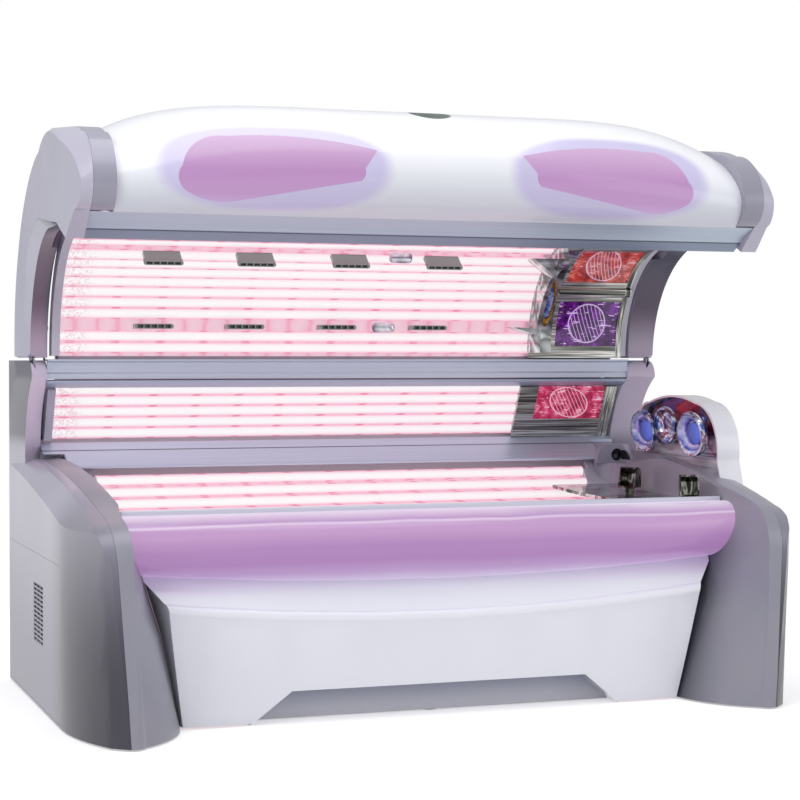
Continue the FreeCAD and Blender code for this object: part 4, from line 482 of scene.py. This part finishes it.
# ---------------------------------------------------------------- pod
# Vacuum-metallised outlets on a mirror liner, full of blue, wine-red and white
# reflections of the lit lamps.
pod_mirror = polished("pod_mirror", [(0.28, "1c1c2b"), (0.38, "6a7fc4"), (0.47, "e9effa"),
                                     (0.55, "7a3350"), (0.64, "c8d4ec"), (0.75, "30324a")],
                      17.0, (1.0, 1.0, 1.0), 0.06)
for name in ("pod_nozzle_rear", "pod_nozzle_middle", "pod_nozzle_front"):
    dress(name, pod_mirror)
material, tree, output, place = new_material("liner_mirror")
parts = add_node(tree, "SeparateXYZ", Vector=place)
wavy = add_node(tree, "TexNoise", Vector=place, Scale=9.0, Detail=2.0, Distortion=0.6)
top = add_node(tree, "ValToRGB", wavy, stops=[(0.35, "14142a"), (0.45, "3c4fa8"), (0.52, "5e1b34"),
                                              (0.58, "b3324e"), (0.66, "23264a")])
spread = add_node(tree, "Mapping", Vector=place, Scale=(1.0, 2.0, 70.0))
lines = add_node(tree, "TexNoise", Vector=spread, Scale=1.0, Detail=2.0)
foot = add_node(tree, "ValToRGB", lines,
                stops=[(0.35, "6f7180"), (0.45, "c6c9d2"), (0.6, "eceef2")])
pink = add_node(tree, "ValToRGB", lines,
                stops=[(0.38, "7d4460"), (0.44, "e9bcd2"), (0.7, "f3dbe8")])
beside = add_node(tree, "MapRange", parts.outputs["Y"], -0.13, -0.16, **smooth)
raised = add_node(tree, "MapRange", parts.outputs["Z"], 0.785, 0.795, **smooth)
pink_share = add_node(tree, "Math", beside, raised, operation="MULTIPLY")
lower = add_node(tree, "Mix", pink_share, foot, pink, data_type="RGBA")
upper = add_node(tree, "MapRange", parts.outputs["Z"], 0.845, 0.87, **smooth)
colour = add_node(tree, "Mix", upper, lower, top, data_type="RGBA")
lacquer(tree, output, place, colour, 0.08, metallic=0.45, coat=0.5, bump=0.002)
dress("pod_liner", material)
for name in ("pod_lens_rear", "pod_lens_front"):
    dress(name, glow("dome_blue_" + name[-5:].strip("_"), "5f79ea", "181c66", 0.75, 0.5))


# Thin bright linings lie in the bowls of the two outlets that hold a blue dome, and turn
# with them.
toward = Vector((-1.0, -0.12, -0.14)).normalized()
for side, y, z, radius in (("rear", 0.238, 0.877, 0.078), ("front", -0.132, 0.878, 0.080)):
    inner, outer = 0.5 * radius + 0.0045, radius - 0.0105
    mesh = spun([(inner, 0.0504), (0.77 * radius, 0.0583), (outer, 0.0738),
                 (outer - 0.0004, 0.0752), (0.76 * radius, 0.0597), (inner, 0.0518)])
    turn = Vector((0.0, 0.0, 1.0)).rotation_difference(toward).to_matrix().to_4x4()
    mesh.transform(Matrix.Translation((1.115, y, z)) @ turn)
    ring = piece("pod_bowl_lining_" + side, mesh)
    material, tree, output, place = new_material("bowl_lavender_gloss_" + side)
    local = add_node(tree, "VectorMath", place, (1.05, y, z), operation="SUBTRACT")
    flat = add_node(tree, "VectorMath", local, (0.0, 1.0, 1.0), operation="MULTIPLY")
    away = add_node(tree, "VectorMath", flat, operation="LENGTH")
    share = add_node(tree, "Math", away, radius, operation="DIVIDE")
    wavy = add_node(tree, "TexNoise", Vector=place, Scale=34.0, Detail=2.0)
    share = add_node(tree, "Math", wavy, 0.25, share, operation="MULTIPLY_ADD")
    # Painted reflection: blue rings of the dome's light in the lining's own lavender-white gloss.
    colour = add_node(tree, "ValToRGB", share,
                      stops=[(0.62, "2c3a9e"), (0.7, "8ea0ee"), (0.78, "dfe3fb"), (0.86, "a9b4ea"),
                             (0.93, "4d5cc0"), (1.0, "e9edfc")])
    lacquer(tree, output, place, colour, 0.1, metallic=0.3, coat=0.6, bump=0.01)
    ring.data.materials.append(material)
    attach(ring, "pod_outlet_" + side)


# ---------------------------------------------------------------- filter glasses
# Coloured glass over the burners. The round reflector behind each shows through as a
# ring crossed by slanting louvres, with small painted glints on the glass.


def filter_glass(name, deep, mid, bright, line, centre, size, turn):
    """Lit coloured glass; centre, size and turn place the ring seen through it."""
    material, tree, output, place = new_material(name)
    local = add_node(tree, "Mapping", Vector=place, vector_type="TEXTURE", Location=centre,
                     Rotation=(0.0, turn, 0.0), Scale=(size[0], 1.0, size[1]))
    parts = add_node(tree, "SeparateXYZ", Vector=local)
    x, z = parts.outputs["X"], parts.outputs["Z"]
    squares = [add_node(tree, "Math", add_node(tree, "Math", value, operation="ABSOLUTE"), 2.0,
                        operation="POWER") for value in (x, z)]
    radius = add_node(tree, "Math", add_node(tree, "Math", *squares, operation="ADD"),
                      operation="SQRT")
    off_ring = add_node(tree, "Math", radius, -1.0, operation="ADD")
    off_ring = add_node(tree, "Math", off_ring, operation="ABSOLUTE")
    rim = add_node(tree, "MapRange", off_ring, 0.045, 0.02, **smooth)
    slant = add_node(tree, "Math", z, 0.9, x, operation="MULTIPLY_ADD")
    slant = add_node(tree, "Math", slant, 24.0, operation="MULTIPLY")
    wave = add_node(tree, "Math", slant, operation="SINE")
    louvre = add_node(tree, "Math", add_node(tree, "MapRange", wave, 0.72, 0.95, **smooth),
                      add_node(tree, "MapRange", radius, 1.0, 0.97, **smooth),
                      operation="MULTIPLY")
    cloud = add_node(tree, "TexNoise", Vector=place, Scale=24.0, Detail=5.0, Roughness=0.65,
                     Distortion=0.5)
    colour = add_node(tree, "ValToRGB", cloud, stops=[(0.36, deep), (0.52, mid), (0.66, bright)])
    # Painted glints: short bright dashes on the glass.
    spread = add_node(tree, "Mapping", Vector=place, Scale=(26.0, 190.0, 190.0))
    dashes = add_node(tree, "TexNoise", Vector=spread, Scale=1.0, Detail=2.0)
    glint = add_node(tree, "Math", add_node(tree, "MapRange", dashes, 0.6, 0.64, **smooth),
                     add_node(tree, "MapRange", cloud, 0.44, 0.54, **smooth),
                     operation="MULTIPLY")
    marks = [add_node(tree, "Math", mark, share, operation="MULTIPLY")
             for mark, share in ((rim, 0.7), (louvre, 0.6), (glint, 0.85))]
    strongest = add_node(tree, "Math", *marks[:2], operation="MAXIMUM")
    strongest = add_node(tree, "Math", strongest, marks[2], operation="MAXIMUM")
    colour = add_node(tree, "Mix", strongest, colour, line, data_type="RGBA")
    shader = add_node(tree, "BsdfPrincipled", Emission_Color=colour, Base_Color="20101c",
                      Roughness=0.06, Emission_Strength=0.95, Coat_Weight=0.3)
    tree.links.new(shader.outputs["BSDF"], output.inputs["Surface"])
    return material


def middle(name):
    """Middle and size of a CAD node's box."""
    low, high = (Vector(v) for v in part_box(name))
    return (low + high) / 2.0, high - low


for name, colours in (("violet_filter", ("210636", "4a0f63", "7a2aa0", "e3c9f6")),
                      ("red_filter", ("74160f", "b23a30", "cd6f5e", "dfc3e0")),
                      ("shoulder_filter", ("8c1438", "bf3560", "dd7f9d", "f2cbdd"))):
    centre, size = middle(name)
    dress(name, filter_glass(name.split("_")[0] + "_pressed_glass", *colours, centre,
                             (0.30 * size.x, 0.42 * size.z), 0.35))

# ---------------------------------------------------------------- air nozzles and grilles
# Injection-moulded grey outlets; painted shade from ambient occlusion darkens their deep cells.
material, tree, output, place = new_material("vent_grey_plastic")
recess_shade = add_node(tree, "AmbientOcclusion", Distance=0.008)
colour = add_node(tree, "ValToRGB", recess_shade.outputs["AO"],
                  stops=[(0.2, "141817"), (0.45, "666f6a"), (0.9, "87908b")])
lacquer(tree, output, place, colour, 0.3, coat=0.3)
for name in ("air_nozzles", "top_grille"):
    dress(name, material)
# Painted shade from ambient occlusion darkens the side grilles' openings too.
material, tree, output, place = new_material("grille_grey_painted_shade")
recess_shade = add_node(tree, "AmbientOcclusion", Distance=0.02)
colour = add_node(tree, "ValToRGB", recess_shade.outputs["AO"], stops=[(0.3, "26262e"), (0.7, "8d8b99")])
lacquer(tree, output, place, colour, 0.4)
dress("side_grilles", material)

# ---------------------------------------------------------------- lit covers
# Opal violet acrylic, lit from behind: the windows pale towards their top edge, and the
# light band is brightest along its shoulder and at its foot.


def lit_cover(name, stops, low, high, strength):
    """Gloss acrylic whose light runs through a ramp from z = low to z = high."""
    material, tree, output, place = new_material(name)
    height = add_node(tree, "SeparateXYZ", Vector=place).outputs["Z"]
    wander = add_node(tree, "TexNoise", Vector=place, Scale=2.2).outputs["Fac"]
    wander = add_node(tree, "Math", wander, -0.5, operation="ADD")
    height = add_node(tree, "Math", wander, 0.02, height, operation="MULTIPLY_ADD")
    along = add_node(tree, "MapRange", height, low, high)
    colour = add_node(tree, "ValToRGB", along, stops=stops)
    shader = add_node(tree, "BsdfPrincipled", Emission_Color=colour, Base_Color="6a4a70",
                      Roughness=0.24, Emission_Strength=strength, Coat_Weight=0.15)
    tree.links.new(shader.outputs["BSDF"], output.inputs["Surface"])
    return material


# The thin pale stops at 0.83 and 0.96 are painted highlights along the band's shoulder and top
# edge.
dress("light_band", lit_cover("band_opal_violet", [
    (0.0, "cdc3de"), (0.14, "b69ac6"), (0.3, "a87eb5"), (0.5, "ad84b7"), (0.7, "c8a3cb"),
    (0.8, "c4a2c9"), (0.83, "e9dbee"), (0.855, "bfa1c9"), (0.96, "e4dbea")], 0.44, 0.66, 0.72))
dress("canopy_windows", lit_cover("window_opal_violet", [
    (0.0, "c4b0d8"), (0.15, "be98c4"), (0.5, "bd92c1"), (0.72, "cdaacf"), (1.0, "dcc0de")],
    1.60, 1.81, 0.7))

# ---------------------------------------------------------------- frame and inner parts
# Powder-coated steel frames, plated ballast cases, black plastic fan and rubber feet.
material, tree, output, place = new_material("black_powder_coat")
lacquer(tree, output, place, drift(tree, place, "2d2e33", "232428", 20.0), 0.5, bump=0.2,
        grain=1200.0)
for name in ("fan_housing", "fan_rotor", "gas_cylinders", "levelling_feet"):
    dress(name, material)
material, tree, output, place = new_material("silver_powder_coat")
lacquer(tree, output, place, drift(tree, place, "9b99a8", "918f9e", 14.0), 0.45, metallic=0.2,
        bump=0.15, grain=1200.0)
for name in ("base_frame", "canopy_frame"):
    dress(name, material)
material, tree, output, place = new_material("ballast_plated_steel")
lacquer(tree, output, place, drift(tree, place, "8f949b", "82878e", 9.0), 0.5, metallic=0.5)
dress("ballast_units", material)

# ---------------------------------------------------------------- stage, light and camera
# White floor that keeps the bed's soft shadow and fades into a white world, three plain
# lamps and a camera at eye height in front of the foot end.
bpy.ops.mesh.primitive_plane_add(size=60.0, location=(0.0, 0.0, 0.0))
floor = bpy.context.object
floor.name = "floor"
material, tree, output, place = new_material("floor_white")
rays = add_node(tree, "LightPath")
lit = add_node(tree, "BsdfDiffuse", Color=(0.85, 0.85, 0.85, 1.0))
lift = add_node(tree, "Emission", Color="ffffff", Strength=0.45)
seen = add_node(tree, "AddShader", lit, lift)
plain = add_node(tree, "Emission", Color="ffffff", Strength=1.0)
mirror = add_node(tree, "Math", rays.outputs["Is Glossy Ray"], rays.outputs["Is Transmission Ray"],
                  operation="MAXIMUM")
away = add_node(tree, "VectorMath", place, operation="LENGTH").outputs["Value"]
far = add_node(tree, "MapRange", away, 1.8, 3.4, **smooth)
first = add_node(tree, "MixShader", rays.outputs["Is Camera Ray"], lit, seen)
far = add_node(tree, "Math", far, rays.outputs["Is Camera Ray"], operation="MULTIPLY")
mirror = add_node(tree, "Math", mirror, far, operation="MAXIMUM")
mix = add_node(tree, "MixShader", mirror, first, plain)
tree.links.new(mix.outputs[0], output.inputs["Surface"])
floor.data.materials.append(material)

world = bpy.data.worlds.new("studio")
bpy.context.scene.world = world
world.use_nodes = True
tree = world.node_tree
tree.nodes.clear()
rays = add_node(tree, "LightPath")
seen = add_node(tree, "Math", rays.outputs["Is Camera Ray"], rays.outputs["Is Transmission Ray"],
                operation="MAXIMUM")
soft = add_node(tree, "Background", Color=(0.95, 0.96, 1.0, 1.0), Strength=0.62)
white = add_node(tree, "Background", Color="ffffff", Strength=1.0)
mix = add_node(tree, "MixShader", seen, soft, white)
tree.links.new(mix.outputs[0], add_node(tree, "OutputWorld").inputs["Surface"])


def area_lamp(name, place, target, size, power):
    """Square lamp at a place, turned to a target."""
    lamp = bpy.data.lights.new(name, "AREA")
    lamp.size = size
    lamp.energy = power
    thing = bpy.data.objects.new(name, lamp)
    bpy.context.collection.objects.link(thing)
    thing.location = place
    thing.rotation_euler = (Vector(target) - Vector(place)).to_track_quat("-Z", "Y").to_euler()


area_lamp("key", (-4.5, -3.8, 4.6), (0.0, 0.0, 0.9), 3.0, 110.0)
area_lamp("fill", (4.5, -4.5, 2.5), (0.0, 0.0, 0.9), 3.0, 30.0)
area_lamp("top", (0.0, -0.6, 5.2), (0.0, 0.0, 1.0), 4.0, 90.0)

camera = bpy.data.cameras.new("camera")
camera.lens = 88.65
camera.sensor_width = 36.0
viewer = bpy.data.objects.new("camera", camera)
bpy.context.collection.objects.link(viewer)
viewer.location = (-2.2147, -6.2911, 1.125)
viewer.rotation_euler = (math.radians(90.0 - 1.135), 0.0, math.radians(-19.544))
bpy.context.scene.camera = viewer
bpy.context.scene.view_settings.view_transform = "Standard"
